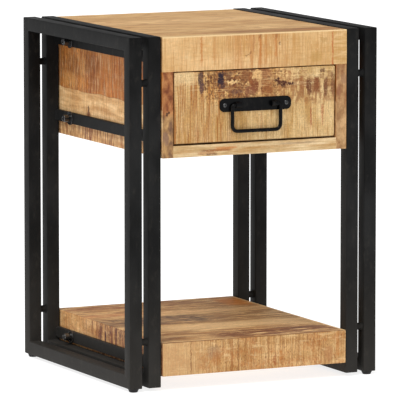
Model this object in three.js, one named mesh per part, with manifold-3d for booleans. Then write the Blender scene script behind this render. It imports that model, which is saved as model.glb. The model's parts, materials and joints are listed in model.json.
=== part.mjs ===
// Side table with one drawer. Two pairs of welded square-tube frames stand left and right, joined by
// round spacers. A wooden box with a drawer and a thick wooden shelf are bolted between the inner pair.
// Millimetres. +X is to the right, +Y to the back, +Z up, and the origin is on the floor under the middle.
import * as THREE from "three";
import { mergeVertices } from "three/addons/utils/BufferGeometryUtils.js";
import Module from "manifold-3d";

const wasm = await Module();
wasm.setup();

// ---- Driving dimensions ----
const width = 388; // over the outer frames
const depth = 370; // of every frame
const height = 500; // floor to the top of the frames
const footHeight = 5;
const tube = 19; // side of the square tube
const tubeWall = 1.25;
const frameGap = 10; // between the two frames of a pair
const woodWidth = 289;
const board = 16.5; // thickness of the solid boards
const woodFrontProud = 2; // how far the wood stands in front of the frames
const woodBackInset = 2; // how far it stays in front of the frames' backs
const woodTopInset = 1; // how far the top stays below the frames' tops
const frontRailHeight = 49;
const boxHeight = 170; // the whole box, top board included
const shelfBottom = 20.5;
const shelfThickness = 47.5;
const barHeight = 16;
const barThickness = 6;
const barCentres = { lower: 35.5, middle: 356.5, upper: 468.5 }; // heights of the flat bars
const boltFromMiddle = 115; // front and back bolts of a bar
const spacerFromEnd = 65; // from the frame's top or bottom
const backPanel = 12; // thickness
const drawerSideGap = 2;
const drawerTopGap = 1.5;
const drawerBottomGap = 2.5;
const drawerRecess = 0.5; // the drawer front stays this far behind the rail above it
const drawerSide = 12; // thickness of the drawer's sides and back
const drawerSideHeight = 80;
const drawerSideLift = 2; // the sides hang this far above the front's bottom edge
const drawerBottom = 5; // thickness
const drawerTravel = 237.5;
const runnerWidth = 6;
const runnerHeight = 12;
const stopLength = 15; // the pull-out stop, front to back
const stopWidth = 30;
const handleHeight = 399.5;
const plateLength = 112;
const plateHeight = 19;
const plateThickness = 1.5;
const plateCorner = 7.5;
const screwSpacing = 96;
const rod = 5.2; // diameter of the bail's rod
const bailWidth = 75.5; // between the middles of its legs
const bailDrop = 37; // pivot to the middle of the grip
const pivotProud = 4.5; // pivot to the drawer front

// ---- Worked-out places ----
const outerFrameX = width / 2 - tube; // inner face of an outer frame
const innerFrameX = outerFrameX - frameGap - tube; // inner face of an inner frame
const legMiddle = depth / 2 - tube / 2;
const woodX = woodWidth / 2;
const woodFront = -depth / 2 - woodFrontProud;
const woodBack = depth / 2 - woodBackInset;
const woodTop = height - woodTopInset;
const topUnderside = woodTop - board;
const railBottom = woodTop - frontRailHeight;
const boxBottom = woodTop - boxHeight;
const openingX = woodX - board;
const openingBottom = boxBottom + board;
const shelfTop = shelfBottom + shelfThickness;
const drawerFront = woodFront + drawerRecess;
const drawerFrontBack = drawerFront + board;
const drawerX = openingX - drawerSideGap;
const drawerSidesBack = woodBack - backPanel - 1;
const drawerBase = openingBottom + drawerBottomGap + drawerSideLift;
const drawerTop = drawerBase + drawerSideHeight;
const pivotY = drawerFront - pivotProud;
const knuckleOuter = 4;
const knuckleInner = 3;
// The knuckles stand out in front, so the frames sit behind the origin to keep it in the middle.
const frontMost = pivotY - knuckleOuter;
const shiftBack = -(frontMost + depth / 2) / 2;

// ---- Materials ----
const finish = (color, roughness, metalness) => () =>
  new THREE.MeshStandardMaterial({ color, roughness, metalness });
const blackPaint = finish(0x1b1b1a, 0.5, 0.3);
const blackHardware = finish(0x161616, 0.4, 0.6);
const blackPlastic = finish(0x121212, 0.7, 0);
const topWood = finish(0xb98f5f, 0.6, 0);
const sawnWood = finish(0xcfa268, 0.65, 0);
const sideWood = finish(0xb27440, 0.65, 0);
const innerWood = finish(0xcaa679, 0.75, 0);

// ---- Shapes ----
const axes = {
  x: new THREE.Vector3(1, 0, 0),
  y: new THREE.Vector3(0, 1, 0),
  z: new THREE.Vector3(0, 0, 1),
};

// A block between two corners.
function block([x0, y0, z0], [x1, y1, z1]) {
  const geometry = new THREE.BoxGeometry(Math.abs(x1 - x0), Math.abs(y1 - y0), Math.abs(z1 - z0));
  return geometry.translate((x0 + x1) / 2, (y0 + y1) / 2, (z0 + z1) / 2);
}

// A six-sided block with any four corners below and four above, each given anticlockwise from above.
function hexahedron(below, above) {
  const corners = [...below, ...above].flat();
  const geometry = new THREE.BufferGeometry();
  geometry.setAttribute("position", new THREE.Float32BufferAttribute(corners, 3));
  const faces = [3, 2, 1, 3, 1, 0, 4, 5, 6, 4, 6, 7];
  for (let i = 0; i < 4; i++) {
    const next = (i + 1) % 4;
    faces.push(i, next, next + 4, i, next + 4, i + 4);
  }
  return geometry.setIndex(faces);
}

// An outline in (Y, Z), given anticlockwise, pushed along X from x0 to the larger x1.
function alongX(shape, x0, x1) {
  const geometry = new THREE.ExtrudeGeometry(shape, { depth: x1 - x0, bevelEnabled: false, curveSegments: 12 });
  const turn = new THREE.Matrix4().makeBasis(axes.y, axes.z, axes.x);
  return geometry.applyMatrix4(turn).translate(x0, 0, 0);
}

// An outline in (X, Z), given anticlockwise, pushed along Y from y0 to the larger y1.
function alongY(shape, y0, y1) {
  const geometry = new THREE.ExtrudeGeometry(shape, { depth: y1 - y0, bevelEnabled: false, curveSegments: 12 });
  const turn = new THREE.Matrix4().makeBasis(axes.x, axes.z, axes.y.clone().negate());
  return geometry.applyMatrix4(turn).translate(0, y1, 0);
}

// An outline of (radius, Y) turned about the Y axis.
const lathed = (profile) => new THREE.LatheGeometry(profile.map(([r, h]) => new THREE.Vector2(r, h)), 16);

const outline = (points) => new THREE.Shape(points.map(([a, b]) => new THREE.Vector2(a, b)));

function circle(a, b, radius) {
  return new THREE.Shape().absarc(a, b, radius, 0, 2 * Math.PI);
}

// A round bar along X, Y or Z, from one end to the other.
function roundBar(axis, radius, start, end, sides = 16) {
  const length = new THREE.Vector3().subVectors(end, start).length();
  const geometry = new THREE.CylinderGeometry(radius, radius, length, sides);
  geometry.applyQuaternion(new THREE.Quaternion().setFromUnitVectors(axes.y, axes[axis]));
  const middle = new THREE.Vector3().addVectors(start, end).multiplyScalar(0.5);
  return geometry.translate(middle.x, middle.y, middle.z);
}

const at = (x, y, z) => new THREE.Vector3(x, y, z);

// ---- Cutting and joining ----
function solidOf(geometry) {
  const bare = geometry.clone();
  bare.deleteAttribute("normal");
  bare.deleteAttribute("uv");
  const merged = mergeVertices(bare, 1e-4);
  return new wasm.Manifold(
    new wasm.Mesh({
      numProp: 3,
      vertProperties: merged.attributes.position.array,
      triVerts: new Uint32Array(merged.index.array),
    }),
  );
}

function geometryOf(solid) {
  const mesh = solid.getMesh();
  const geometry = new THREE.BufferGeometry();
  geometry.setAttribute("position", new THREE.BufferAttribute(mesh.vertProperties, mesh.numProp));
  geometry.setIndex(new THREE.BufferAttribute(mesh.triVerts, 1));
  return geometry;
}

function cut(geometry, tools) {
  const whole = tools.reduce((rest, tool) => rest.subtract(solidOf(tool)), solidOf(geometry));
  return geometryOf(whole);
}

function join(pieces) {
  return geometryOf(pieces.map(solidOf).reduce((all, piece) => all.add(piece)));
}

// ---- Assembly ----
const table = new THREE.Group();
table.position.y = shiftBack;

function add(name, geometry, material, parent = table) {
  const mesh = new THREE.Mesh(geometry, material());
  mesh.name = name;
  parent.add(mesh);
  return mesh;
}

const sides = [
  ["left", -1],
  ["right", 1],
];
const ends = [
  ["front", -1],
  ["back", 1],
];

// Low and high X of a stretch given as distances from the middle, on the left or the right.
const span = (side, near, far) => (side < 0 ? [-far, -near] : [near, far]);

// ---- Frames: a hollow rectangle of square tube, with a hole under each leg ----
function ringShape(inset) {
  const y = depth / 2 - inset;
  const low = footHeight + inset;
  const high = height - inset;
  const shape = outline([[-y, low], [y, low], [y, high], [-y, high]]);
  const holeY = depth / 2 - tube + inset;
  const holeLow = footHeight + tube - inset;
  const holeHigh = height - tube + inset;
  shape.holes.push(outline([[-holeY, holeLow], [-holeY, holeHigh], [holeY, holeHigh], [holeY, holeLow]]));
  return shape;
}

const footHole = 4.2;
const drainHole = 2.5;

function frame(side, near, holeRadius) {
  const [x0, x1] = span(side, near, near + tube);
  const inside = alongX(ringShape(tubeWall), x0 + tubeWall, x1 - tubeWall);
  const middle = (x0 + x1) / 2;
  const holes = ends.map(([, end]) => {
    const start = at(middle, end * legMiddle, footHeight - 1);
    return roundBar("z", holeRadius, start, at(middle, end * legMiddle, footHeight + 2 * tubeWall), 12);
  });
  return cut(alongX(ringShape(0), x0, x1), [inside, ...holes]);
}

// ---- Round spacers that join the two frames of a pair ----
const spacerRadius = 5;
function spacer(side, end, z) {
  const [x0, x1] = span(side, innerFrameX + tube, outerFrameX);
  return roundBar("x", spacerRadius, at(x0, end * legMiddle, z), at(x1, end * legMiddle, z));
}

// ---- Feet: tapered glides whose stems push into the outer frames ----
const footRadius = { tip: 6, rim: 7.75, stem: 3.8 };
const footRim = 0.8; // height of the straight rim under the leg
const footStemTop = 13;
function foot() {
  const { tip, rim, stem } = footRadius;
  const profile = [
    [0, 0],
    [tip, 0],
    [rim, footHeight - footRim],
    [rim, footHeight],
    [stem, footHeight],
    [stem, footStemTop],
    [0, footStemTop],
  ];
  return lathed(profile).rotateX(Math.PI / 2);
}

// ---- Flat bars, their bolts and the bolt holes in the wood behind them ----
const boltShank = 3;
const boltHole = 3.3;
const washer = { radius: 10, thickness: 1.6 };
const springWasher = { radius: 5.8, thickness: 2 };
const boltHead = { radius: 5, length: 8, socket: 2.9, socketDepth: 3.5 };
const boltGrip = 14; // how far the shank goes into the wood

// Holes through a bar and into the wood, along X.
function boltHoles(side, z, near, far) {
  const [x0, x1] = span(side, near, far);
  return ends.map(([, end]) => {
    const y = end * boltFromMiddle;
    return roundBar("x", boltHole, at(x0, y, z), at(x1, y, z), 12);
  });
}

function flatBar(side, z) {
  const [x0, x1] = span(side, woodX, woodX + barThickness);
  const y = depth / 2 - tube;
  const bar = block([x0, -y, z - barHeight / 2], [x1, y, z + barHeight / 2]);
  return cut(bar, boltHoles(side, z, woodX - 1, woodX + barThickness + 1));
}

// Turned about +Y with its washer's seat at zero, the tip below and the socket head above.
function bolt() {
  const washerTop = washer.thickness;
  const springTop = washerTop + springWasher.thickness;
  const headTop = springTop + boltHead.length;
  const tip = -barThickness - boltGrip;
  const profile = [
    [0, tip],
    [boltShank, tip],
    [boltShank, 0],
    [washer.radius, 0],
    [washer.radius, washerTop],
    [springWasher.radius, washerTop],
    [springWasher.radius, springTop],
    [boltHead.radius, springTop],
    [boltHead.radius, headTop],
    [0, headTop],
  ];
  const body = lathed(profile);
  const socket = new THREE.CylinderGeometry(boltHead.socket, boltHead.socket, 2 * boltHead.socketDepth, 6);
  return cut(body, [socket.translate(0, headTop, 0)]);
}

for (const [sideName, side] of sides) {
  add("outer_frame_" + sideName, frame(side, outerFrameX, footHole), blackPaint);
  add("inner_frame_" + sideName, frame(side, innerFrameX, drainHole), blackPaint);
  for (const [endName, end] of ends) {
    const place = endName + "_" + sideName;
    add("spacer_upper_" + place, spacer(side, end, height - spacerFromEnd), blackPaint);
    add("spacer_lower_" + place, spacer(side, end, footHeight + spacerFromEnd), blackPaint);
    const footMesh = add("foot_" + place, foot(), blackPlastic);
    footMesh.position.set(side * (outerFrameX + tube / 2), end * legMiddle, 0);
  }
  for (const [level, z] of Object.entries(barCentres)) {
    add(level + "_bar_" + sideName, flatBar(side, z), blackPaint);
    for (const [endName, end] of ends) {
      const mesh = add("bolt_" + level + "_" + endName + "_" + sideName, bolt(), blackHardware);
      mesh.rotation.z = (-side * Math.PI) / 2;
      mesh.position.set(side * (woodX + barThickness), end * boltFromMiddle, z);
    }
  }
}

// ---- Box: front rail and top board meet in a mitre, the sides stand under the top board ----
const mitreBack = woodFront + board;
add(
  "top_front_rail",
  alongX(
    outline([[woodFront, railBottom], [mitreBack, railBottom], [mitreBack, topUnderside], [woodFront, woodTop]]),
    -woodX,
    woodX,
  ),
  sawnWood,
);
add(
  "top_board",
  alongX(
    outline([[mitreBack, topUnderside], [woodBack, topUnderside], [woodBack, woodTop], [woodFront, woodTop]]),
    -woodX,
    woodX,
  ),
  topWood,
);

function sidePanel(side) {
  const [x0, x1] = span(side, openingX, woodX);
  const panel = alongX(
    outline([
      [woodFront, boxBottom],
      [woodBack, boxBottom],
      [woodBack, topUnderside],
      [mitreBack, topUnderside],
      [mitreBack, railBottom],
      [woodFront, railBottom],
    ]),
    x0,
    x1,
  );
  const levels = [barCentres.middle, barCentres.upper];
  const holes = levels.flatMap((z) => boltHoles(side, z, woodX - boltGrip - 1, woodX + 1));
  return cut(panel, holes);
}

add("bottom_panel", block([-openingX, woodFront, boxBottom], [openingX, woodBack, openingBottom]), sawnWood);
add(
  "back_panel",
  block([-openingX, woodBack - backPanel, openingBottom], [openingX, woodBack, topUnderside]),
  innerWood,
);

// ---- Runners and pull-out stop inside the box ----
const runnerMiddle = drawerBase + drawerSideHeight / 2;
const runnerClearance = 0.5;
const runnerFrontGap = 2; // to the drawer front
const runnerBackGap = 3; // to the back panel
const stopReach = 6; // how far the stop hangs below the top of the drawer's back
for (const [sideName, side] of sides) {
  add("side_panel_" + sideName, sidePanel(side), sideWood);
  const [x0, x1] = span(side, openingX - runnerWidth, openingX);
  const low = [x0, drawerFrontBack + runnerFrontGap, runnerMiddle - runnerHeight / 2];
  const high = [x1, woodBack - backPanel - runnerBackGap, runnerMiddle + runnerHeight / 2];
  add("drawer_runner_" + sideName, block(low, high), innerWood);
}
const drawerBackFront = drawerSidesBack - drawerSide;
const stopBack = drawerBackFront - drawerTravel - runnerClearance;
add(
  "pull_out_stop",
  block([-stopWidth / 2, stopBack - stopLength, drawerTop - stopReach], [stopWidth / 2, stopBack, topUnderside]),
  innerWood,
);

// ---- Shelf: a board mitred into a frame of four rails, open underneath ----
const rimX = [woodX, openingX];
const rimFront = [woodFront, mitreBack];
const rimBack = [woodBack, woodBack - board];
const shelfUnderside = shelfTop - board;

// The corner of the shelf at one side and end: 0 is the outer corner, 1 the inner one.
const rimCorner = (side, end, inner, z) => [side * rimX[inner], (end < 0 ? rimFront : rimBack)[inner], z];

function shelfRail([sideA, endA], [sideB, endB]) {
  const level = (outerZ, innerZ) => [
    rimCorner(sideA, endA, 0, outerZ),
    rimCorner(sideB, endB, 0, outerZ),
    rimCorner(sideB, endB, 1, innerZ),
    rimCorner(sideA, endA, 1, innerZ),
  ];
  return hexahedron(level(shelfBottom, shelfBottom), level(shelfTop, shelfUnderside));
}

const roundTheRim = [[-1, -1], [1, -1], [1, 1], [-1, 1]];
add(
  "shelf_board",
  hexahedron(
    roundTheRim.map(([side, end]) => rimCorner(side, end, 1, shelfUnderside)),
    roundTheRim.map(([side, end]) => rimCorner(side, end, 0, shelfTop)),
  ),
  topWood,
);
["front", "right", "back", "left"].forEach((name, i) => {
  const rail = shelfRail(roundTheRim[i], roundTheRim[(i + 1) % 4]);
  const side = Math.round(Math.cos((i - 1) * (Math.PI / 2)));
  const holes = side ? boltHoles(side, barCentres.lower, woodX - boltGrip - 1, woodX + 1) : [];
  add("shelf_rail_" + name, cut(rail, holes), sawnWood);
});

// ---- Drawer ----
const drawer = new THREE.Group();
table.add(drawer);
const screwPilot = 1.8;
const screwLength = 13;

const pilots = [-1, 1].map((hand) => {
  const x = (hand * screwSpacing) / 2;
  const start = at(x, drawerFront - 1, handleHeight);
  const end = at(x, drawerFront + screwLength, handleHeight);
  return roundBar("y", screwPilot, start, end, 12);
});
const frontBoard = block(
  [-drawerX, drawerFront, openingBottom + drawerBottomGap],
  [drawerX, drawerFrontBack, railBottom - drawerTopGap],
);
add("drawer_front", cut(frontBoard, pilots), sawnWood, drawer);

// A side has a groove for its runner outside and one for the bottom inside.
const runnerGroove = 4.5;
const bottomGroove = 4;
const bottomLip = 4; // wood below the bottom's groove
const bottomLow = drawerBase + bottomLip;
const bottomSlack = 0.25;
const bottomHigh = bottomLow + drawerBottom + 2 * bottomSlack;

function drawerSidePanel(side) {
  const outer = drawerX;
  const inner = drawerX - drawerSide;
  const grooveLow = runnerMiddle - runnerHeight / 2 - runnerClearance;
  const grooveHigh = runnerMiddle + runnerHeight / 2 + runnerClearance;
  const points = [
    [inner, drawerBase],
    [outer, drawerBase],
    [outer, grooveLow],
    [outer - runnerGroove, grooveLow],
    [outer - runnerGroove, grooveHigh],
    [outer, grooveHigh],
    [outer, drawerTop],
    [inner, drawerTop],
    [inner, bottomHigh],
    [inner + bottomGroove, bottomHigh],
    [inner + bottomGroove, bottomLow],
    [inner, bottomLow],
  ];
  const sided = points.map(([x, z]) => [side * x, z]);
  return alongY(outline(side < 0 ? sided.reverse() : sided), drawerFrontBack, drawerSidesBack);
}

const drawerInnerX = drawerX - drawerSide;
for (const [sideName, side] of sides) {
  add("drawer_side_" + sideName, drawerSidePanel(side), innerWood, drawer);
}
add(
  "drawer_back",
  block([-drawerInnerX, drawerBackFront, bottomHigh], [drawerInnerX, drawerSidesBack, drawerTop]),
  innerWood,
  drawer,
);
const bottomX = drawerInnerX + bottomGroove - bottomSlack;
add(
  "drawer_bottom",
  block(
    [-bottomX, drawerFrontBack, bottomLow + bottomSlack],
    [bottomX, drawerSidesBack, bottomLow + bottomSlack + drawerBottom],
  ),
  innerWood,
  drawer,
);

// ---- Handle: a plate with two knuckles, two screws, and a bail that swings in the knuckles ----
const plateHole = 2;
const knuckle = { near: 23.5, far: 33 }; // from the middle of the plate
const bailTip = knuckle.near + 1.5; // where the rod ends inside a knuckle
const upperBend = 4;
const lowerBend = 8;

function plate() {
  const x = plateLength / 2 - plateCorner;
  const z = plateHeight / 2 - plateCorner;
  const shape = new THREE.Shape();
  shape.absarc(x, handleHeight + z, plateCorner, 0, Math.PI / 2);
  shape.absarc(-x, handleHeight + z, plateCorner, Math.PI / 2, Math.PI);
  shape.absarc(-x, handleHeight - z, plateCorner, Math.PI, 1.5 * Math.PI);
  shape.absarc(x, handleHeight - z, plateCorner, 1.5 * Math.PI, 2 * Math.PI);
  shape.holes.push(circle(-screwSpacing / 2, handleHeight, plateHole));
  shape.holes.push(circle(screwSpacing / 2, handleHeight, plateHole));
  const flat = alongY(shape, drawerFront - plateThickness, drawerFront);
  const knuckles = [-1, 1].map((hand) => {
    const [x0, x1] = span(hand, knuckle.near, knuckle.far);
    const ring = circle(pivotY, handleHeight, knuckleOuter);
    ring.holes.push(circle(pivotY, handleHeight, knuckleInner));
    return alongX(ring, x0, x1);
  });
  return join([flat, ...knuckles]);
}

function bail() {
  const leg = bailWidth / 2;
  const top = handleHeight;
  const grip = handleHeight - bailDrop;
  const path = new THREE.CurvePath();
  const bends = [
    [-leg, top, upperBend],
    [-leg, grip, lowerBend],
    [leg, grip, lowerBend],
    [leg, top, upperBend],
  ];
  const last = at(bailTip, pivotY, top);
  let from = at(-bailTip, pivotY, top);
  bends.forEach(([x, z, radius], i) => {
    const corner = at(x, pivotY, z);
    const next = i < 3 ? at(bends[i + 1][0], pivotY, bends[i + 1][1]) : last;
    const enter = corner.clone().lerp(from, radius / corner.distanceTo(from));
    const leave = corner.clone().lerp(next, radius / corner.distanceTo(next));
    path.add(new THREE.LineCurve3(from, enter));
    path.add(new THREE.QuadraticBezierCurve3(enter, corner, leave));
    from = leave;
  });
  path.add(new THREE.LineCurve3(from, last));
  return new THREE.ExtrudeGeometry(circle(0, 0, rod / 2), { extrudePath: path, steps: 90, curveSegments: 5 });
}

add("handle_plate", plate(), blackHardware, drawer);
add("handle_bail", bail(), blackHardware, drawer);

// A low domed screw, turned about +Y with its seat at zero.
const screwCore = 1.4;
const screwHead = { radius: 3.2, height: 2 };
const screwEnd = screwLength - plateThickness; // its tip stops short of the pilot's bottom
function screw() {
  const dome = (turn) => [screwHead.radius * Math.cos(turn), screwHead.height * Math.sin(turn)];
  const profile = [
    [0, -screwEnd],
    [screwCore, -screwEnd + 1],
    [screwCore, 0],
    dome(0),
    dome(Math.PI / 6),
    dome(Math.PI / 3),
    [0, screwHead.height],
  ];
  return lathed(profile);
}
for (const [sideName, side] of sides) {
  const mesh = add("handle_screw_" + sideName, screw(), blackHardware, drawer);
  mesh.rotation.x = Math.PI;
  mesh.position.set((side * screwSpacing) / 2, drawerFront - plateThickness, handleHeight);
}

export default table;
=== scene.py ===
"""Looks of the side table with one drawer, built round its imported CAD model.

Metres, +X to the right, +Y to the back, +Z up, floor at zero. Every place comes from the CAD boxes.
"""

import json
import math
import random

import bmesh
import bpy
from mathutils import Matrix, Vector, noise

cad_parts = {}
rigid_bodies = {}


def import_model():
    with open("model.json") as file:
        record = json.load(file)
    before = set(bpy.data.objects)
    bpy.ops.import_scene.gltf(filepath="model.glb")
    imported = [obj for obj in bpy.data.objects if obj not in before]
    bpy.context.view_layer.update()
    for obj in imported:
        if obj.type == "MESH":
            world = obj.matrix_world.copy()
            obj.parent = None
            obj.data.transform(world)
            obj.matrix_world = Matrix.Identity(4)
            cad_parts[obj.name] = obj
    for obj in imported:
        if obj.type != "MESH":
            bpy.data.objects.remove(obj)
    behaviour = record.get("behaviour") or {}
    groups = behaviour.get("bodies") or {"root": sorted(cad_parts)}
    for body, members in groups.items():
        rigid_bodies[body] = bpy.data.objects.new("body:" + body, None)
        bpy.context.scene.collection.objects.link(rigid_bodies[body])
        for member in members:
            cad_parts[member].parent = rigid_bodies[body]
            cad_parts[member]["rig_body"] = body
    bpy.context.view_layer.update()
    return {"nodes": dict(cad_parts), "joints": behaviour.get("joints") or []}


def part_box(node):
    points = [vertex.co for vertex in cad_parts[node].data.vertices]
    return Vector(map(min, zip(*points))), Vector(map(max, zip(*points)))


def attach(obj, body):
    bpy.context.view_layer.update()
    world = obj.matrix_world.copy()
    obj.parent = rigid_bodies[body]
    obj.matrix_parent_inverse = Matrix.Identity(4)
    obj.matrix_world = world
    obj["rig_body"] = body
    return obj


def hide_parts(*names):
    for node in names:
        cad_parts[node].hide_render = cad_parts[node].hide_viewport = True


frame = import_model()

MM = 0.001
SIDES = (("left", -1), ("right", 1))
ENDS = (("front", -1), ("back", 1))
X, Y, Z = Vector((1, 0, 0)), Vector((0, 1, 0)), Vector((0, 0, 1))


# ---- Camera: the height, turn and lens of the picture ----
CAMERA_AIM = Vector((0, -0.0016, 0.2424))
CAMERA_TURN = -25.598
CAMERA_RISE = 7.222
CAMERA_DISTANCE = 6.9125
CAMERA_LENS = 430.3


def direction(turn, rise):
    """The way to a place that is turned and raised by so many degrees, seen from the middle."""
    turn, rise = math.radians(turn), math.radians(rise)
    level = math.cos(rise)
    return Vector((math.sin(turn) * level, -math.cos(turn) * level, math.sin(rise)))


def make_camera():
    data = bpy.data.cameras.new("camera")
    data.lens = CAMERA_LENS
    data.sensor_width = 36
    data.clip_start = 0.1
    data.clip_end = 1000
    camera = bpy.data.objects.new("camera", data)
    away = direction(CAMERA_TURN, CAMERA_RISE)
    camera.location = CAMERA_AIM + away * CAMERA_DISTANCE
    camera.rotation_euler = (-away).to_track_quat("-Z", "Y").to_euler()
    bpy.context.scene.collection.objects.link(camera)
    bpy.context.scene.camera = camera


# ---- Materials: short names for the nodes ----
def srgb(red, green, blue):
    """A colour given as 0 to 255, as the linear colour that nodes take."""
    parts = [c / 255 for c in (red, green, blue)]
    return tuple(c / 12.92 if c < 0.04045 else ((c + 0.055) / 1.055) ** 2.4 for c in parts) + (1,)


def linear(tint):
    """A tint as nodes take it: three numbers are 0 to 255 ones, and anything else stays as it is."""
    return srgb(*tint) if isinstance(tint, tuple) and len(tint) == 3 else tint


def ground_tones(dark, light, middle, ends=(0.36, 0.64)):
    """The stops of a ramp from a dark to a light tone."""
    return ((ends[0], dark), (ends[1], light), (0.5, middle))


class Graph:
    """One material and the calls that add nodes to it."""

    def __init__(self, name):
        self.material = bpy.data.materials.new(name)
        self.material.use_nodes = True
        self.tree = self.material.node_tree
        self.tree.nodes.clear()
        self.shader = self.node("ShaderNodeBsdfPrincipled")
        output = self.node("ShaderNodeOutputMaterial")
        self.tree.links.new(self.shader.outputs["BSDF"], output.inputs["Surface"])
        coordinates = self.node("ShaderNodeTexCoord")
        self.place = coordinates.outputs["Object"]
        self.normal = coordinates.outputs["Normal"]

    def node(self, kind, **settings):
        node = self.tree.nodes.new(kind)
        for key, value in settings.items():
            setattr(node, key, value)
        return node

    def set(self, node, **numbers):
        for name, number in numbers.items():
            node.inputs[name.replace("_", " ")].default_value = number

    def feed(self, socket, value):
        if isinstance(value, bpy.types.NodeSocket):
            self.tree.links.new(value, socket)
        else:
            socket.default_value = value

    def math(self, operation, a, b=0.0, clamp=False):
        node = self.node("ShaderNodeMath", operation=operation, use_clamp=clamp)
        self.feed(node.inputs[0], a)
        self.feed(node.inputs[1], b)
        return node.outputs[0]

    def vector(self, operation, a, b):
        node = self.node("ShaderNodeVectorMath", operation=operation)
        self.feed(node.inputs[0], a)
        self.feed(node.inputs[1], b)
        return node.outputs[0]

    def scaled(self, place, scale, seed=0.0):
        """A place multiplied along each axis, and moved to another part of the noise."""
        moved = self.vector("MULTIPLY", place, scale)
        return self.vector("ADD", moved, (seed * 7.13, seed * 3.71, seed * 5.37))

    def noise(self, place, detail=2.0, roughness=0.5, distortion=0.0):
        node = self.node("ShaderNodeTexNoise")
        self.feed(node.inputs["Vector"], place)
        self.set(node, Scale=1, Detail=detail, Roughness=roughness, Distortion=distortion)
        return node.outputs["Fac"]

    def fade(self, value, start, end, low=0.0, high=1.0):
        """Turns smoothly from low at start to high at end."""
        node = self.node("ShaderNodeMapRange", interpolation_type="SMOOTHSTEP")
        self.set(node, From_Min=start, From_Max=end, To_Min=low, To_Max=high)
        self.feed(node.inputs["Value"], value)
        return node.outputs["Result"]

    def ramp(self, value, stops):
        node = self.node("ShaderNodeValToRGB")
        for number, (position, colour) in enumerate(stops):
            elements = node.color_ramp.elements
            stop = elements[number] if number < 2 else elements.new(position)
            stop.position = position
            stop.color = linear(colour)
        self.feed(node.inputs["Fac"], value)
        return node.outputs["Color"]

    def mix(self, factor, a, b, blend="MIX"):
        node = self.node("ShaderNodeMix", data_type="RGBA", blend_type=blend)
        self.feed(node.inputs[0], factor)
        self.feed(node.inputs[6], linear(a))
        self.feed(node.inputs[7], linear(b))
        return node.outputs[2]

    def shade(self, colour, amount):
        """A colour made darker or lighter by a number of its own at each point."""
        grey = self.node("ShaderNodeCombineColor")
        for socket in grey.inputs[:3]:
            self.feed(socket, amount)
        return self.mix(1.0, colour, grey.outputs[0], "MULTIPLY")

    def parts(self, place):
        node = self.node("ShaderNodeSeparateXYZ")
        self.feed(node.inputs[0], place)
        return node.outputs

    def bump(self, height, distance, strength=1.0):
        node = self.node("ShaderNodeBump")
        self.set(node, Strength=strength, Distance=distance)
        self.feed(node.inputs["Height"], height)
        self.feed(self.shader.inputs["Normal"], node.outputs["Normal"])


def painted(name, colour, roughness, specular, seed):
    """Black paint on steel: a faint orange peel, cloudy gloss and dust in blots, with painted light: darker
    higher up, and a warm grey near the floor that stands for light thrown up from the floor.
    """
    g = Graph(name)
    cloud = g.noise(g.scaled(g.place, (18, 18, 12), seed), 3)
    peel = g.noise(g.scaled(g.place, (900, 900, 900), seed), 2)
    dust = g.fade(g.noise(g.scaled(g.place, (120, 120, 60), seed + 2), 4, 0.7), 0.5, 0.8)
    lighter = tuple(2.2 * c for c in colour[:3]) + (1,)
    base = g.mix(g.fade(cloud, 0.35, 0.7), colour, lighter)
    height = g.parts(g.place)[2]
    # Painted shade: the paint is made darker above 0.3 m, where the upper parts catch less light.
    base = g.shade(base, g.fade(height, 0.3, 0.5, 1.0, 0.72))
    # Painted light: below 0.22 m the colour is pulled towards warm grey, standing for light thrown up from
    # the floor; it is added to the real dust blots.
    low = g.fade(height, 0.0, 0.22, 1.0, 0.0)
    dust_and_floor_light = g.math("ADD", g.math("MULTIPLY", dust, 0.3), g.math("MULTIPLY", low, 0.36), clamp=True)
    g.feed(g.shader.inputs["Base Color"], g.mix(dust_and_floor_light, base, srgb(66, 62, 57)))
    g.feed(g.shader.inputs["Roughness"], g.fade(cloud, 0.3, 0.7, roughness - 0.07, roughness + 0.07))
    g.shader.inputs["Specular IOR Level"].default_value = specular
    g.bump(peel, 0.00004, 0.5)
    return g.material


def moulded(name):
    """Matt black plastic with a fine moulded texture."""
    g = Graph(name)
    grit = g.noise(g.scaled(g.place, (1500, 1500, 1500)), 2)
    cloud = g.noise(g.scaled(g.place, (60, 60, 60)), 2)
    g.feed(g.shader.inputs["Base Color"], g.mix(cloud, srgb(22, 20, 20), srgb(34, 31, 30)))
    g.feed(g.shader.inputs["Roughness"], g.fade(cloud, 0.3, 0.7, 0.55, 0.7))
    g.shader.inputs["Specular IOR Level"].default_value = 0.3
    g.bump(grit, 0.00005, 0.6)
    return g.material


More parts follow.
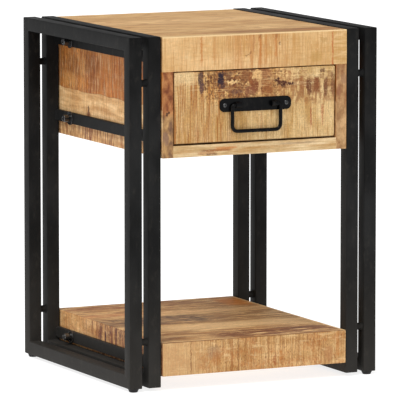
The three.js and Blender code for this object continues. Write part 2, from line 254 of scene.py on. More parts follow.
class Wood(Graph):
    """Sawn mango wood. Sizes are in millimetres; marks are placed from the board's lowest corner.

    Grain is the number of the axis that the grain runs along, and face holds the two axes of the
    face that carries the marks.
    """

    def __init__(self, name, node, grain, face, seed, ragged=(6, 6, 12)):
        super().__init__(name)
        self.low, self.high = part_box(node)
        self.grain = grain
        self.face = face
        self.seed = seed
        self.colour = None
        self.height = self.texture(self.stretch(80, 6), 0)
        push = self.node("ShaderNodeTexNoise")
        self.feed(push.inputs["Vector"], self.scaled(self.place, (330, 330, 170), seed + 20))
        self.set(push, Scale=1, Detail=3)
        centred = self.vector("SUBTRACT", push.outputs["Color"], (0.5, 0.5, 0.5))
        pushed = self.vector("MULTIPLY", centred, tuple(reach * MM for reach in ragged))
        self.ragged = self.vector("ADD", self.place, pushed)
        self.chipped = self.fade(self.texture(self.stretch(2.6, 1.3), 23, 3, 0.7), 0.36, 0.5, 0.5, 1.0)

    def texture(self, size, shift, detail=2.0, roughness=0.55, distortion=0.0, turn=0.0):
        """Noise whose blots are about so many millimetres long along each axis."""
        scale = tuple(1 / (length * MM) for length in size)
        place = self.place
        if turn:
            turned_place = self.node("ShaderNodeVectorRotate", rotation_type="Z_AXIS")
            turned_place.inputs["Angle"].default_value = turn
            self.feed(turned_place.inputs["Vector"], place)
            place = turned_place.outputs["Vector"]
        return self.noise(self.scaled(place, scale, self.seed + shift), detail, roughness, distortion)

    def stretch(self, along, across):
        size = [across] * 3
        size[self.grain] = along
        return size

    def sawn(self, across, along):
        """Blots that are narrow along the grain and long across it, as saw marks are."""
        return self.stretch(across, along)

    def base(self, size, dark, light, middle, shift=1, detail=3.0, distortion=0.6, ends=(0.36, 0.64)):
        """The ground colour: a slow noise turned into tones from dark to light."""
        slow = self.texture(size, shift, detail, 0.55, distortion)
        self.colour = self.ramp(slow, ground_tones(dark, light, middle, ends))

    def raise_by(self, height, amount):
        self.height = self.math("ADD", self.height, self.math("MULTIPLY", height, amount))

    def layer(self, mask, tint, strength):
        self.colour = self.mix(self.math("MULTIPLY", mask, strength), self.colour, tint)

    def both(self, *masks):
        product = masks[0]
        for mask in masks[1:]:
            product = self.math("MULTIPLY", product, mask)
        return product

    def blots(self, size, start, end, shift, detail=2.0, turn=0.0):
        """A mask of separate blots: noise that counts only above start, and fully above end."""
        return self.fade(self.texture(size, shift, detail, 0.6, 0.0, turn), start, end)

    def fleck(self, size, start, end, shift, detail, tint, strength, *inside):
        """Blots of a tint, inside the masks that are given."""
        self.layer(self.both(*inside, self.blots(size, start, end, shift, detail)), tint, strength)

    def uneven(self, size, amount, shift, relief=0.0):
        """Small differences in tone, darker and lighter by about the amount, and in height."""
        value = self.texture(size, shift, 3.0, 0.62)
        self.colour = self.shade(self.colour, self.fade(value, 0.3, 0.7, 1 - amount, 1 + amount))
        if relief:
            self.raise_by(value, relief)

    def rings(self, tint, strength, count, size):
        """Growth lines: the contours of a slow noise, drawn out along the grain."""
        slow = self.texture(size, 5, 2, 0.45, 0.4)
        wave = self.math("SINE", self.math("MULTIPLY", slow, count))
        self.layer(self.fade(wave, 0.1, 1.0), tint, strength)

    def pores(self, strength):
        """Open pores: short dark dashes along the grain."""
        dashes = self.blots(self.stretch(5, 0.6), 0.62, 0.7, 7, 1)
        self.colour = self.shade(self.colour, self.fade(dashes, 0, 1, 1.0, 1 - strength))

    def reach(self, place, axis):
        """How far a place is from the board's lowest corner along an axis, in millimetres."""
        from_corner = self.math("SUBTRACT", self.parts(place)[axis], self.low[axis])
        return self.math("DIVIDE", from_corner, MM)

    def line(self, value, at, start, end):
        """A mask of where a value is nearly at a number, fading out from start to end beside it."""
        distance = self.math("ABSOLUTE", self.math("SUBTRACT", value, at))
        return self.fade(distance, start, end, 1.0, 0.0)

    def within(self, axis, start, end, soft=2.0):
        """A mask of a strip of the board, from start to end along an axis, with soft sides."""
        value = self.reach(self.ragged, axis)
        rise = self.fade(value, start - soft, start + soft)
        return self.both(rise, self.fade(value, end - soft, end + soft, 1.0, 0.0))

    def arris(self, axis, at, width, tint, strength):
        """A thin band along an edge, at a place on an axis in metres: a painted highlight when the tint is
        pale, painted shade when it is dark.
        """
        band = self.line(self.parts(self.place)[axis], at, 0.4 * width * MM, width * MM)
        self.layer(band, tint, strength)

    def spot(self, across, up, half_across, half_up, soft=0.45):
        """A ragged ellipse on the face, its middle and half sizes in millimetres."""
        centre = [0.0] * 3
        scale = [0.0] * 3
        for axis, middle, half in zip(self.face, (across, up), (half_across, half_up)):
            centre[axis] = self.low[axis] + middle * MM
            scale[axis] = 1 / (half * MM)
        offset = self.vector("MULTIPLY", self.vector("SUBTRACT", self.ragged, centre), scale)
        length = self.node("ShaderNodeVectorMath", operation="LENGTH")
        self.feed(length.inputs[0], self.vector("MULTIPLY", offset, offset))
        return self.fade(length.outputs["Value"], 1 - soft, 1 + 1.6 * soft, 1.0, 0.0)

    def mark(self, across, up, half_across, half_up, tint, strength, soft=0.45):
        """A stain: such an ellipse, broken up by the grain."""
        shape = self.both(self.spot(across, up, half_across, half_up, soft), self.chipped)
        self.layer(shape, tint, strength)

    def marks(self, soft, *rows):
        for across, up, half_across, half_up, tint, strength in rows:
            self.mark(across, up, half_across, half_up, tint, strength, soft)

    def multiply(self, mask, tint):
        """Multiplies the colour by a tint inside a mask."""
        self.colour = self.mix(mask, self.colour, (*tint, 1), "MULTIPLY")

    def edge_mark(self, across, up, half_across, half_up, turn=0.0):
        """A ragged ellipse on a board's front edge, from its lower left corner; turn is in radians."""

        def offset(axis, middle):
            return self.math("SUBTRACT", self.reach(self.ragged, axis), middle)

        def square(value, half):
            return self.math("POWER", self.math("ABSOLUTE", self.math("DIVIDE", value, half)), 2.0)

        x, z = offset(0, across), offset(2, up)
        cosine, sine = math.cos(turn), math.sin(turn)
        along = self.math("ADD", self.math("MULTIPLY", x, cosine), self.math("MULTIPLY", z, sine))
        over = self.math("SUBTRACT", self.math("MULTIPLY", z, cosine), self.math("MULTIPLY", x, sine))
        distance = self.math("ADD", square(along, half_across), square(over, half_up))
        return self.fade(distance, 0.6, 1.4, 1.0, 0.0)

    def end_grain(self, dark, light):
        """The faces that cut the grain through are darker and speckled."""
        facing = self.math("ABSOLUTE", self.parts(self.normal)[self.grain])
        speckle = self.texture((2.4, 2.4, 2.4), 9, 4, 0.7)
        cloud = self.texture((16, 16, 16), 10, 3)
        rough = self.mix(self.fade(cloud, 0.35, 0.65), dark, light)
        rough = self.shade(rough, self.fade(speckle, 0.3, 0.7, 0.82, 1.14))
        self.colour = self.mix(self.fade(facing, 0.6, 0.9, 0.0, 0.85), self.colour, rough)

    def finish(self, roughness, specular, bump=0.0003, lacquer=(1, 1, 1)):
        tinted = self.mix(1.0, self.colour, (*lacquer, 1), "MULTIPLY")
        self.feed(self.shader.inputs["Base Color"], tinted)
        gloss = self.fade(self.height, 0.3, 0.9, roughness + 0.06, roughness - 0.06)
        self.feed(self.shader.inputs["Roughness"], gloss)
        self.shader.inputs["Specular IOR Level"].default_value = specular
        self.bump(self.height, bump, 0.8)
        return self.material


# ---- Mesh helpers ----
def link(name, mesh):
    piece = bpy.data.objects.new(name, mesh)
    bpy.context.scene.collection.objects.link(piece)
    return piece


def store(bm, mesh, angle):
    """Writes a bmesh to its mesh, smooth apart from its sharp edges."""
    bm.to_mesh(mesh)
    bm.free()
    mesh.shade_smooth()
    mesh.set_sharp_from_angle(angle=math.radians(angle))


def made(name, bm, angle=32):
    """A bmesh as an object."""
    bmesh.ops.recalc_face_normals(bm, faces=bm.faces)
    mesh = bpy.data.meshes.new(name)
    store(bm, mesh, angle)
    return link(name, mesh)


def stands_for(piece, material, slot, *nodes):
    """Gives a piece its material, and puts it in the place of CAD nodes that ride on one body."""
    piece.data.materials.clear()
    piece.data.materials.append(material)
    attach(piece, frame["nodes"][nodes[0]]["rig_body"])
    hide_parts(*nodes)


def loft(bm, loops, wrap=False):
    """Joins loops of equal length with quads. The two ends are capped, or joined to each other."""
    rows = [[bm.verts.new(point) for point in loop] for loop in loops]
    count = len(rows[0])
    for low, high in zip(rows, rows[1:] + rows[:1] if wrap else rows[1:]):
        for i in range(count):
            j = (i + 1) % count
            bm.faces.new((low[i], low[j], high[j], high[i]))
    if not wrap:
        bm.faces.new(reversed(rows[0]))
        bm.faces.new(rows[-1])


def arc(centre, radius, start, turn, steps):
    """Points on an arc, both ends included."""
    angles = [start + turn * step / steps for step in range(steps + 1)]
    return [(centre[0] + radius * math.cos(a), centre[1] + radius * math.sin(a)) for a in angles]


def circle_points(radius, height, count, matrix):
    """Points round an axis. The radius may be a function of the angle."""
    points = []
    for i in range(count):
        angle = 2 * math.pi * i / count
        r = radius(angle) if callable(radius) else radius
        points.append(matrix @ Vector((r * math.cos(angle), r * math.sin(angle), height)))
    return points


def turned(bm, profile, matrix, count=40):
    """A closed round shape from a profile of (radius, height)."""
    loft(bm, [circle_points(radius, height, count, matrix) for radius, height in profile])


def facing(direction, at):
    """The matrix that takes +Z to a direction and the origin to a point."""
    return Matrix.Translation(at) @ Vector(direction).to_track_quat("Z", "Y").to_matrix().to_4x4()


def solid(below, above):
    """A six-sided block from four corners below and four above, anticlockwise from above."""
    bm = bmesh.new()
    loft(bm, [[Vector(p) for p in below], [Vector(p) for p in above]])
    return bm


def block(low, high):
    corners = [(low[0], low[1]), (high[0], low[1]), (high[0], high[1]), (low[0], high[1])]
    return solid([(x, y, low[2]) for x, y in corners], [(x, y, high[2]) for x, y in corners])


def prism(outline, axis, start, end):
    """An outline of two coordinates pushed along the third axis."""
    bm = bmesh.new()
    loops = []
    for value in (start, end):
        loop = []
        for first, second in outline:
            point = [first, second]
            point.insert(axis, value)
            loop.append(Vector(point))
        loops.append(loop)
    loft(bm, loops)
    return bm


def worn(name, bm, radius, cell, wobble, seed):
    """Rounds the edges of a plain solid, cuts its faces into cells and makes them slightly uneven.

    radius(a, b) gives how round the edge between two corners is. Wobble is how far a point may move.
    """
    bmesh.ops.recalc_face_normals(bm, faces=bm.faces)
    layer = bm.edges.layers.float.new("bevel_weight_edge")
    radii = [radius(edge.verts[0].co, edge.verts[1].co) for edge in bm.edges]
    widest = max(radii)
    for edge, value in zip(bm.edges, radii):
        edge[layer] = value / widest
    rough = bpy.data.meshes.new(name)
    bm.to_mesh(rough)
    bm.free()
    carrier = link(name, rough)
    bevel = carrier.modifiers.new("edges", "BEVEL")
    bevel.limit_method = "WEIGHT"
    bevel.width = widest
    bevel.segments = 3
    bevel.use_clamp_overlap = True
    evaluated = carrier.evaluated_get(bpy.context.evaluated_depsgraph_get())
    bm = bmesh.new()
    bm.from_mesh(evaluated.to_mesh())
    evaluated.to_mesh_clear()
    bpy.data.objects.remove(carrier)
    bpy.data.meshes.remove(rough)
    low = [min(v.co[k] for v in bm.verts) for k in range(3)]
    high = [max(v.co[k] for v in bm.verts) for k in range(3)]
    for k, direction in enumerate((X, Y, Z)):
        cuts = max(1, round((high[k] - low[k]) / cell))
        for i in range(1, cuts):
            at = Vector((0, 0, 0))
            at[k] = low[k] + (high[k] - low[k]) * i / cuts
            geometry = bm.verts[:] + bm.edges[:] + bm.faces[:]
            bmesh.ops.bisect_plane(bm, geom=geometry, dist=1e-6, plane_co=at, plane_no=direction)
    bm.normal_update()
    shift = Vector((seed * 3.1, seed * 1.7, seed * 2.3))
    moves = [v.normal * wobble * noise.noise(v.co * 38 + shift) for v in bm.verts]
    for v, move in zip(bm.verts, moves):
        v.co += move
    piece = made(name, bm)
    weighted = piece.modifiers.new("normals", "WEIGHTED_NORMAL")
    weighted.keep_sharp = True
    return piece


def bead(bm, start, end, radius, seed):
    """A weld bead along a line: overlapping ripples of an uneven round section."""
    start, end = Vector(start), Vector(end)
    direction = (end - start).normalized()
    length = (end - start).length
    steps = max(8, round(length / (0.45 * MM)))
    turn = direction.to_track_quat("Z", "Y").to_matrix()
    loops = []
    for step in range(steps + 1):
        t = step / steps
        ripple = 0.84 + 0.16 * math.cos(2 * math.pi * t * length / (1.9 * MM))
        cap = max(0.25, min(1.0, t * length / radius, (1 - t) * length / radius))
        loop = []
        for i in range(12):
            angle = 2 * math.pi * i / 12
            round_place = (math.cos(angle) * 1.3, math.sin(angle) * 1.3, t * 7 + seed)
            r = radius * ripple * cap * (1 + 0.18 * noise.noise(Vector(round_place)))
            aside = turn @ Vector((r * math.cos(angle), r * math.sin(angle), 0))
            loop.append(start + direction * (t * length) + aside)
        loops.append(loop)
    loft(bm, loops)


def rod(bm, points, radius):
    """A round rod along a line of points that lie in one plane across Y."""
    sides = 20
    loops = []
    for i, point in enumerate(points):
        before = points[max(i - 1, 0)]
        after = points[min(i + 1, len(points) - 1)]
        tangent = (after - before).normalized()
        outward = tangent.cross(Y).normalized()
        loop = []
        for k in range(sides):
            angle = 2 * math.pi * k / sides
            loop.append(point + outward * (radius * math.cos(angle)) + Y * (radius * math.sin(angle)))
        loops.append(loop)
    ends = []
    for point, loop, other in ((points[0], loops[0], points[1]), (points[-1], loops[-1], points[-2])):
        push = (point - other).normalized() * (0.35 * radius)
        ends.append([point + push + (corner - point) * 0.72 for corner in loop])
    loft(bm, [ends[0]] + loops + [ends[1]])


# ---- The steel frames ----
TUBE_EDGE = 1.0 * MM  # outside radius of the square tube's edges
MITRE_EDGE = 1.1 * MM  # the ground-off corner of a welded mitre


def tube_section(half):
    """The rounded square section of a tube, as (sideways, outward)."""
    points = []
    for quarter in range(4):
        middle = math.pi / 4 + quarter * math.pi / 2
        centre = [(half - TUBE_EDGE) * math.copysign(1, f(middle)) for f in (math.cos, math.sin)]
        points += arc(centre, TUBE_EDGE, middle - math.pi / 4, math.pi / 2, 4)
    return points


def ring(bm, low, high):
    """A closed rectangle of square tube, in the plane across X, with mitred corners."""
    half = (high.x - low.x) / 2
    middle = (low + high) / 2
    reach_y = (high.y - low.y) / 2 - half
    reach_z = (high.z - low.z) / 2 - half
    loops = []
    for quarter in range(4):
        along = math.pi / 4 + quarter * math.pi / 2
        sign_y, sign_z = math.copysign(1, math.cos(along)), math.copysign(1, math.sin(along))
        for step in range(5):
            angle = along - math.pi / 4 + step * math.pi / 8
            loop = []
            for sideways, outward in tube_section(half):
                y = sign_y * (reach_y + outward - MITRE_EDGE) + MITRE_EDGE * math.cos(angle)
                z = sign_z * (reach_z + outward - MITRE_EDGE) + MITRE_EDGE * math.sin(angle)
                loop.append(Vector((middle.x + sideways, middle.y + y, middle.z + z)))
            loops.append(loop)
    loft(bm, loops, wrap=True)


def make_frames(paint):
    for place in ("outer", "inner"):
        for name, _ in SIDES:
            node = f"{place}_frame_{name}"
            low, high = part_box(node)
            bm = bmesh.new()
            ring(bm, low, high)
            stands_for(made(node + "_tube", bm, 40), paint, "black_frame", node)


def make_spacers(paint):
    """Round bars with a lumpy weld at both ends."""
    weld = 1.7 * MM
    steps = 22
    for level in ("upper", "lower"):
        for end, _ in ENDS:
            for name, _ in SIDES:
                node = f"spacer_{level}_{end}_{name}"
                low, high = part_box(node)
                radius = (high.z - low.z) / 2
                length = high.x - low.x
                matrix = facing(X, Vector((low.x, (low.y + high.y) / 2, (low.z + high.z) / 2)))
                profile = []
                for step in range(steps + 1):
                    t = step / steps
                    flare = max(0.0, 1 - min(t, 1 - t) * length / weld)

                    def lumpy(angle, height=t * length, flare=flare):
                        across = (math.cos(angle) * 2.4, math.sin(angle) * 2.4, height * 300)
                        lump = noise.noise(Vector(across) + low * 90)
                        return radius + flare * (1.3 + 0.5 * lump) * MM

                    profile.append((lumpy, t * length))
                bm = bmesh.new()
                turned(bm, profile, matrix, 36)
                stands_for(made(node + "_round", bm, 50), paint, "black_frame", node)


def make_feet(plastic):
    for end, _ in ENDS:
        for name, _ in SIDES:
            node = f"foot_{end}_{name}"
            low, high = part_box(node)
            wide = (high.x - low.x) / 2
            matrix = Matrix.Translation(Vector(((low.x + high.x) / 2, (low.y + high.y) / 2, low.z)))
            profile = [
                (0.0, 0.0),
                (0.70 * wide, 0.0),
                (0.775 * wide, 0.35 * MM),
                (0.80 * wide, 0.8 * MM),
                (0.97 * wide, 3.9 * MM),
                (wide, 4.4 * MM),
                (0.98 * wide, 4.9 * MM),
                (0.5 * wide, 4.95 * MM),
                (0.48 * wide, 12 * MM),
                (0.0, 12.4 * MM),
            ]
            bm = bmesh.new()
            turned(bm, [(max(r, 0.01 * MM), h) for r, h in profile], matrix, 32)
            stands_for(made(node + "_glide", bm, 35), plastic, "foot_plastic", node)


def make_bars(paint):
    """Flat bars, each welded at its two ends: a bead up the outer edge, and short beads along its top and
    its foot.
    """
    for level_number, level in enumerate(("lower", "middle", "upper")):
        for name, side in SIDES:
            node = f"{level}_bar_{name}"
            low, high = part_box(node)
            seed = 3.3 * level_number + 1.7 * side
            piece = worn(node + "_flat", block(low, high), lambda a, b: 0.7 * MM, 0.02, 0.05 * MM, seed)
            outer_x = low.x if side < 0 else high.x
            bm = bmesh.new()
            bm.from_mesh(piece.data)
            for y, inward in ((low.y, 1), (high.y, -1)):
                at_y = y + inward * 0.5 * MM
                top, foot = high.z - 0.5 * MM, low.z + 0.5 * MM
                bead(bm, (outer_x, at_y, foot), (outer_x, at_y, top), 1.9 * MM, seed + y * 50)
                for z in (top, foot):
                    inner_x = outer_x - side * 5 * MM
                    bead(bm, (outer_x, at_y, z), (inner_x, at_y, z), 1.5 * MM, seed + z * 70)
            store(bm, piece.data, 40)
            stands_for(piece, paint, "black_frame", node)


# ---- Bolts: a flat washer, a split spring washer and a socket head ----
def split_ring(bm, inner, outer, start, thickness, matrix):
    """A spring washer: a square section that climbs a little round an almost closed ring."""
    loops = []
    steps = 44
    gap = math.radians(16)
    for step in range(steps + 1):
        t = step / steps
        angle = 0.9 + gap / 2 + t * (2 * math.pi - gap)
        rise = start + 0.25 * MM * t
        corners = ((inner, rise), (outer, rise), (outer, rise + thickness), (inner, rise + thickness))
        loops.append([matrix @ Vector((r * math.cos(angle), r * math.sin(angle), h)) for r, h in corners])
    loft(bm, loops)


def bolt_head(bm, radius, start, height, matrix):
    """A knurled round head with a six-sided socket."""
    top = start + height

    def knurled(angle):
        return radius + 0.09 * MM * math.cos(24 * angle)

    def hexagon(corner):
        def reach(angle):
            within = (angle % (math.pi / 3)) - math.pi / 6
            return corner * math.cos(math.pi / 6) / math.cos(within)

        return reach

    socket = 0.58 * radius
    profile = [
        (0.9 * radius, start),
        (radius, start + 0.3 * MM),
        (knurled, start + 0.6 * MM),
        (knurled, top - 1.2 * MM),
        (radius, top - 0.8 * MM),
        (0.93 * radius, top - 0.25 * MM),
        (0.84 * radius, top),
        (hexagon(1.06 * socket), top),
        (hexagon(socket), top - 0.25 * MM),
        (hexagon(socket), top - 3.2 * MM),
        (hexagon(0.6 * socket), top - 3.6 * MM),
    ]
    turned(bm, profile, matrix, 72)


def make_bolts(metal):
    """A wide washer, a spring washer and a socket head, seated on the bar."""
    washer = 1.6 * MM  # its thickness
    rim = 0.25 * MM  # the washer's softened edge
    spring = 1.6 * MM
    spring_room = 2.0 * MM  # what the spring washer takes up with its climb
    head_radius, head_height = 5 * MM, 7.9 * MM
    for level in ("lower", "middle", "upper"):
        for end, _ in ENDS:
            for name, side in SIDES:
                node = f"bolt_{level}_{end}_{name}"
                low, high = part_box(node)
                bar_low, bar_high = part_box(f"{level}_bar_{name}")
                seat = bar_low.x if side < 0 else bar_high.x
                centre = Vector((seat, (low.y + high.y) / 2, (low.z + high.z) / 2))
                turn = random.Random(node).uniform(0, math.tau)
                matrix = facing(X * side, centre) @ Matrix.Rotation(turn, 4, "Z")
                wide = (high.z - low.z) / 2
                profile = [
                    (3.3 * MM, 0),
                    (wide - rim, 0),
                    (wide, rim),
                    (wide, washer - rim),
                    (wide - rim, washer),
                    (3.4 * MM, washer),
                ]
                bm = bmesh.new()
                turned(bm, profile, matrix, 48)
                split_ring(bm, 3.2 * MM, 5.8 * MM, washer + 0.05 * MM, spring, matrix)
                bolt_head(bm, head_radius, washer + spring_room, head_height, matrix)
                stands_for(made(node + "_set", bm, 30), metal, "black_hardware", node)


# ---- The wood ----
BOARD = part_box("top_board")[1].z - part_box("top_board")[0].z
SOFT_EDGE = 1.5 * MM  # a sanded outer edge
JOINT_EDGE = 0.22 * MM  # an edge glued against its neighbour


def near(a, b):
    return abs(a - b) < 0.2 * MM


def board(node, ending, shape, radius, cell, wobble, seed, look, kind):
    """A worn board that stands for the CAD piece it is named after."""
    stands_for(worn(node + ending, shape, radius, cell, wobble, seed), look, kind, node)


def make_box(looks):
    """The top, its front rail, the sides, the bottom and the back."""
    top_low, top_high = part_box("top_board")
    rail_low, rail_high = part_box("top_front_rail")

    # The sanded round of the front edge is shared: half of it is on the top, half on the rail.
    arris = []
    for step in range(7):
        angle = math.pi / 2 + step * math.pi / 12
        y = top_low.y + SOFT_EDGE * (1 + math.cos(angle))
        arris.append((y, top_high.z - SOFT_EDGE * (1 - math.sin(angle))))

    def on_arris(point):
        return point.y < top_low.y + 1.01 * SOFT_EDGE and point.z > top_high.z - 1.01 * SOFT_EDGE

    def top_radius(a, b):
        if on_arris(a) or on_arris(b):
            return 0
        if near(a.z, top_high.z) and near(b.z, top_high.z):
            return SOFT_EDGE
        return JOINT_EDGE

    mitre = [
        (rail_high.y, top_low.z),
        (top_high.y, top_low.z),
        (top_high.y, top_high.z),
        *arris[:4],
    ]
    shape = prism(mitre, 0, top_low.x, top_high.x)
    board("top_board", "_planks", shape, top_radius, 0.011, 0.14 * MM, 1, looks["top"], "board_wood")

    def rail_radius(a, b):
        if on_arris(a) or on_arris(b):
            return 0
        if near(a.z, rail_low.z) and near(b.z, rail_low.z) and near(a.y, b.y) and near(a.y, rail_low.y):
            return 0.5 * MM
        return JOINT_EDGE

    mitre = [
        (rail_low.y, rail_low.z),
        (rail_high.y, rail_low.z),
        (rail_high.y, top_low.z),
        *arris[3:],
    ]
    shape = prism(mitre, 0, rail_low.x, rail_high.x)
    look = looks["rail"]
    board("top_front_rail", "_plank", shape, rail_radius, 0.011, 0.16 * MM, 2, look, "sawn_wood")

    for name, side in SIDES:
        node = "side_panel_" + name
        low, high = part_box(node)
        outline = [
            (low.y, low.z),
            (high.y, low.z),
            (high.y, high.z),
            (rail_high.y, high.z),
            (rail_high.y, rail_low.z),
            (low.y, rail_low.z),
        ]

        def side_radius(a, b, low=low, high=high, side=side):
            outer_x = low.x if side < 0 else high.x
            if near(a.x, outer_x) and near(b.x, outer_x) and not near(a.z, high.z):
                return 0.8 * MM
            if near(a.z, low.z) and near(b.z, low.z):
                return 0.6 * MM
            return JOINT_EDGE

        shape = prism(outline, 0, low.x, high.x)
        look = looks["side_" + name]
        board(node, "_plank", shape, side_radius, 0.011, 0.2 * MM, 3 + side, look, "sawn_wood")

    low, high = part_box("bottom_panel")

    def bottom_radius(a, b):
        if near(a.y, low.y) and near(b.y, low.y) and near(a.z, b.z):
            return 0.8 * MM
        return JOINT_EDGE

    shape = block(low, high)
    look = looks["bottom"]
    board("bottom_panel", "_plank", shape, bottom_radius, 0.011, 0.16 * MM, 6, look, "sawn_wood")
    low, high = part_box("back_panel")
    shape = block(low, high)
    look = looks["back"]
    board("back_panel", "_plank", shape, lambda a, b: 0.4 * MM, 0.014, 0.12 * MM, 7, look, "inner_wood")


def make_shelf(looks):
    """A board mitred into four rails, open underneath."""
    low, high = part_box("shelf_board")
    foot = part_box("shelf_rail_front")[0].z
    corners = [(-1, -1), (1, -1), (1, 1), (-1, 1)]

    def corner(number, inner, z):
        sx, sy = corners[number % 4]
        x = (low.x if sx < 0 else high.x) - sx * inner * BOARD
        y = (low.y if sy < 0 else high.y) - sy * inner * BOARD
        return (x, y, z)

    def board_radius(a, b):
        return 0.9 * MM if near(a.z, high.z) and near(b.z, high.z) else JOINT_EDGE

    below = [corner(i, 1, low.z) for i in range(4)]
    above = [corner(i, 0, high.z) for i in range(4)]
    shape = solid(below, above)
    look = looks["shelf"]
    board("shelf_board", "_planks", shape, board_radius, 0.011, 0.16 * MM, 8, look, "board_wood")

    for i, name in enumerate(("front", "right", "back", "left")):
        node = "shelf_rail_" + name
        places = ((i, 0), (i + 1, 0), (i + 1, 1), (i, 1))
        below = [corner(at, inner, foot) for at, inner in places]
        above = [corner(at, inner, low.z if inner else high.z) for at, inner in places]

        def rail_radius(a, b):
            if near(a.z, high.z) and near(b.z, high.z):
                return 0.7 * MM
            if near(a.z, foot) and near(b.z, foot):
                return 0.6 * MM
            return JOINT_EDGE

        shape = solid(below, above)
        look = looks["shelf_" + name]
        board(node, "_plank", shape, rail_radius, 0.011, 0.18 * MM, 9 + i, look, "sawn_wood")


def make_drawer(looks):
    low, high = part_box("drawer_front")
    lean = 1.2 * MM  # the right edge was sawn slightly out of square
    corners = [(low.x, low.z), (high.x - lean, low.z), (high.x, high.z), (low.x, high.z)]
    round_corner = {2: 2.2 * MM, 1: 3.0 * MM}
    outline = []
    for number, (x, z) in enumerate(corners):
        radius = round_corner.get(number, 0)
        if not radius:
            outline.append((x, z))
            continue
        centre = (x - radius, z + radius if number == 1 else z - radius)
        first = -math.pi / 2 if number == 1 else 0
        outline += arc(centre, radius, first, math.pi / 2, 4)

    def front_radius(a, b):
        if near(a.y, low.y) and near(b.y, low.y):
            return 0.9 * MM
        return 0.3 * MM if near(a.y, high.y) and near(b.y, high.y) else 0

    shape = prism(outline, 1, low.y, high.y)
    look = looks["drawer"]
    board("drawer_front", "_plank", shape, front_radius, 0.010, 0.2 * MM, 14, look, "sawn_wood")

    plain = ("drawer_back", "drawer_bottom", "pull_out_stop")
    for name in (*plain, "drawer_runner_left", "drawer_runner_right"):
        low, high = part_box(name)
        look = looks["ply"] if name == "drawer_bottom" else looks["inner"]
        shape = block(low, high)
        board(name, "_slat", shape, lambda a, b: 0.4 * MM, 0.02, 0.06 * MM, len(name), look, "inner_wood")

    runner_low, runner_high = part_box("drawer_runner_left")
    slack = 0.5 * MM
    floor_low, floor_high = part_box("drawer_bottom")
    for name, side in SIDES:
        node = "drawer_side_" + name
        low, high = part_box(node)
        outer, inner = (low.x, high.x) if side < 0 else (high.x, low.x)
        groove = outer - side * 4.5 * MM
        dado = inner + side * 4 * MM
        outline = [
            (inner, low.z),
            (outer, low.z),
            (outer, runner_low.z - slack),
            (groove, runner_low.z - slack),
            (groove, runner_high.z + slack),
            (outer, runner_high.z + slack),
            (outer, high.z),
            (inner, high.z),
            (inner, floor_high.z + slack / 2),
            (dado, floor_high.z + slack / 2),
            (dado, floor_low.z - slack / 2),
            (inner, floor_low.z - slack / 2),
        ]
        shape = prism(outline, 1, low.y, high.y)
        look = looks["inner"]
        board(node, "_slat", shape, lambda a, b: 0.35 * MM, 0.02, 0.06 * MM, 17 + side, look, "inner_wood")


# ---- The handle ----
KNUCKLE_NEAR, KNUCKLE_FAR = 23.5 * MM, 33 * MM
KNUCKLE_OUTER, KNUCKLE_INNER = 4 * MM, 2.95 * MM
PLATE_THICKNESS = 1.5 * MM


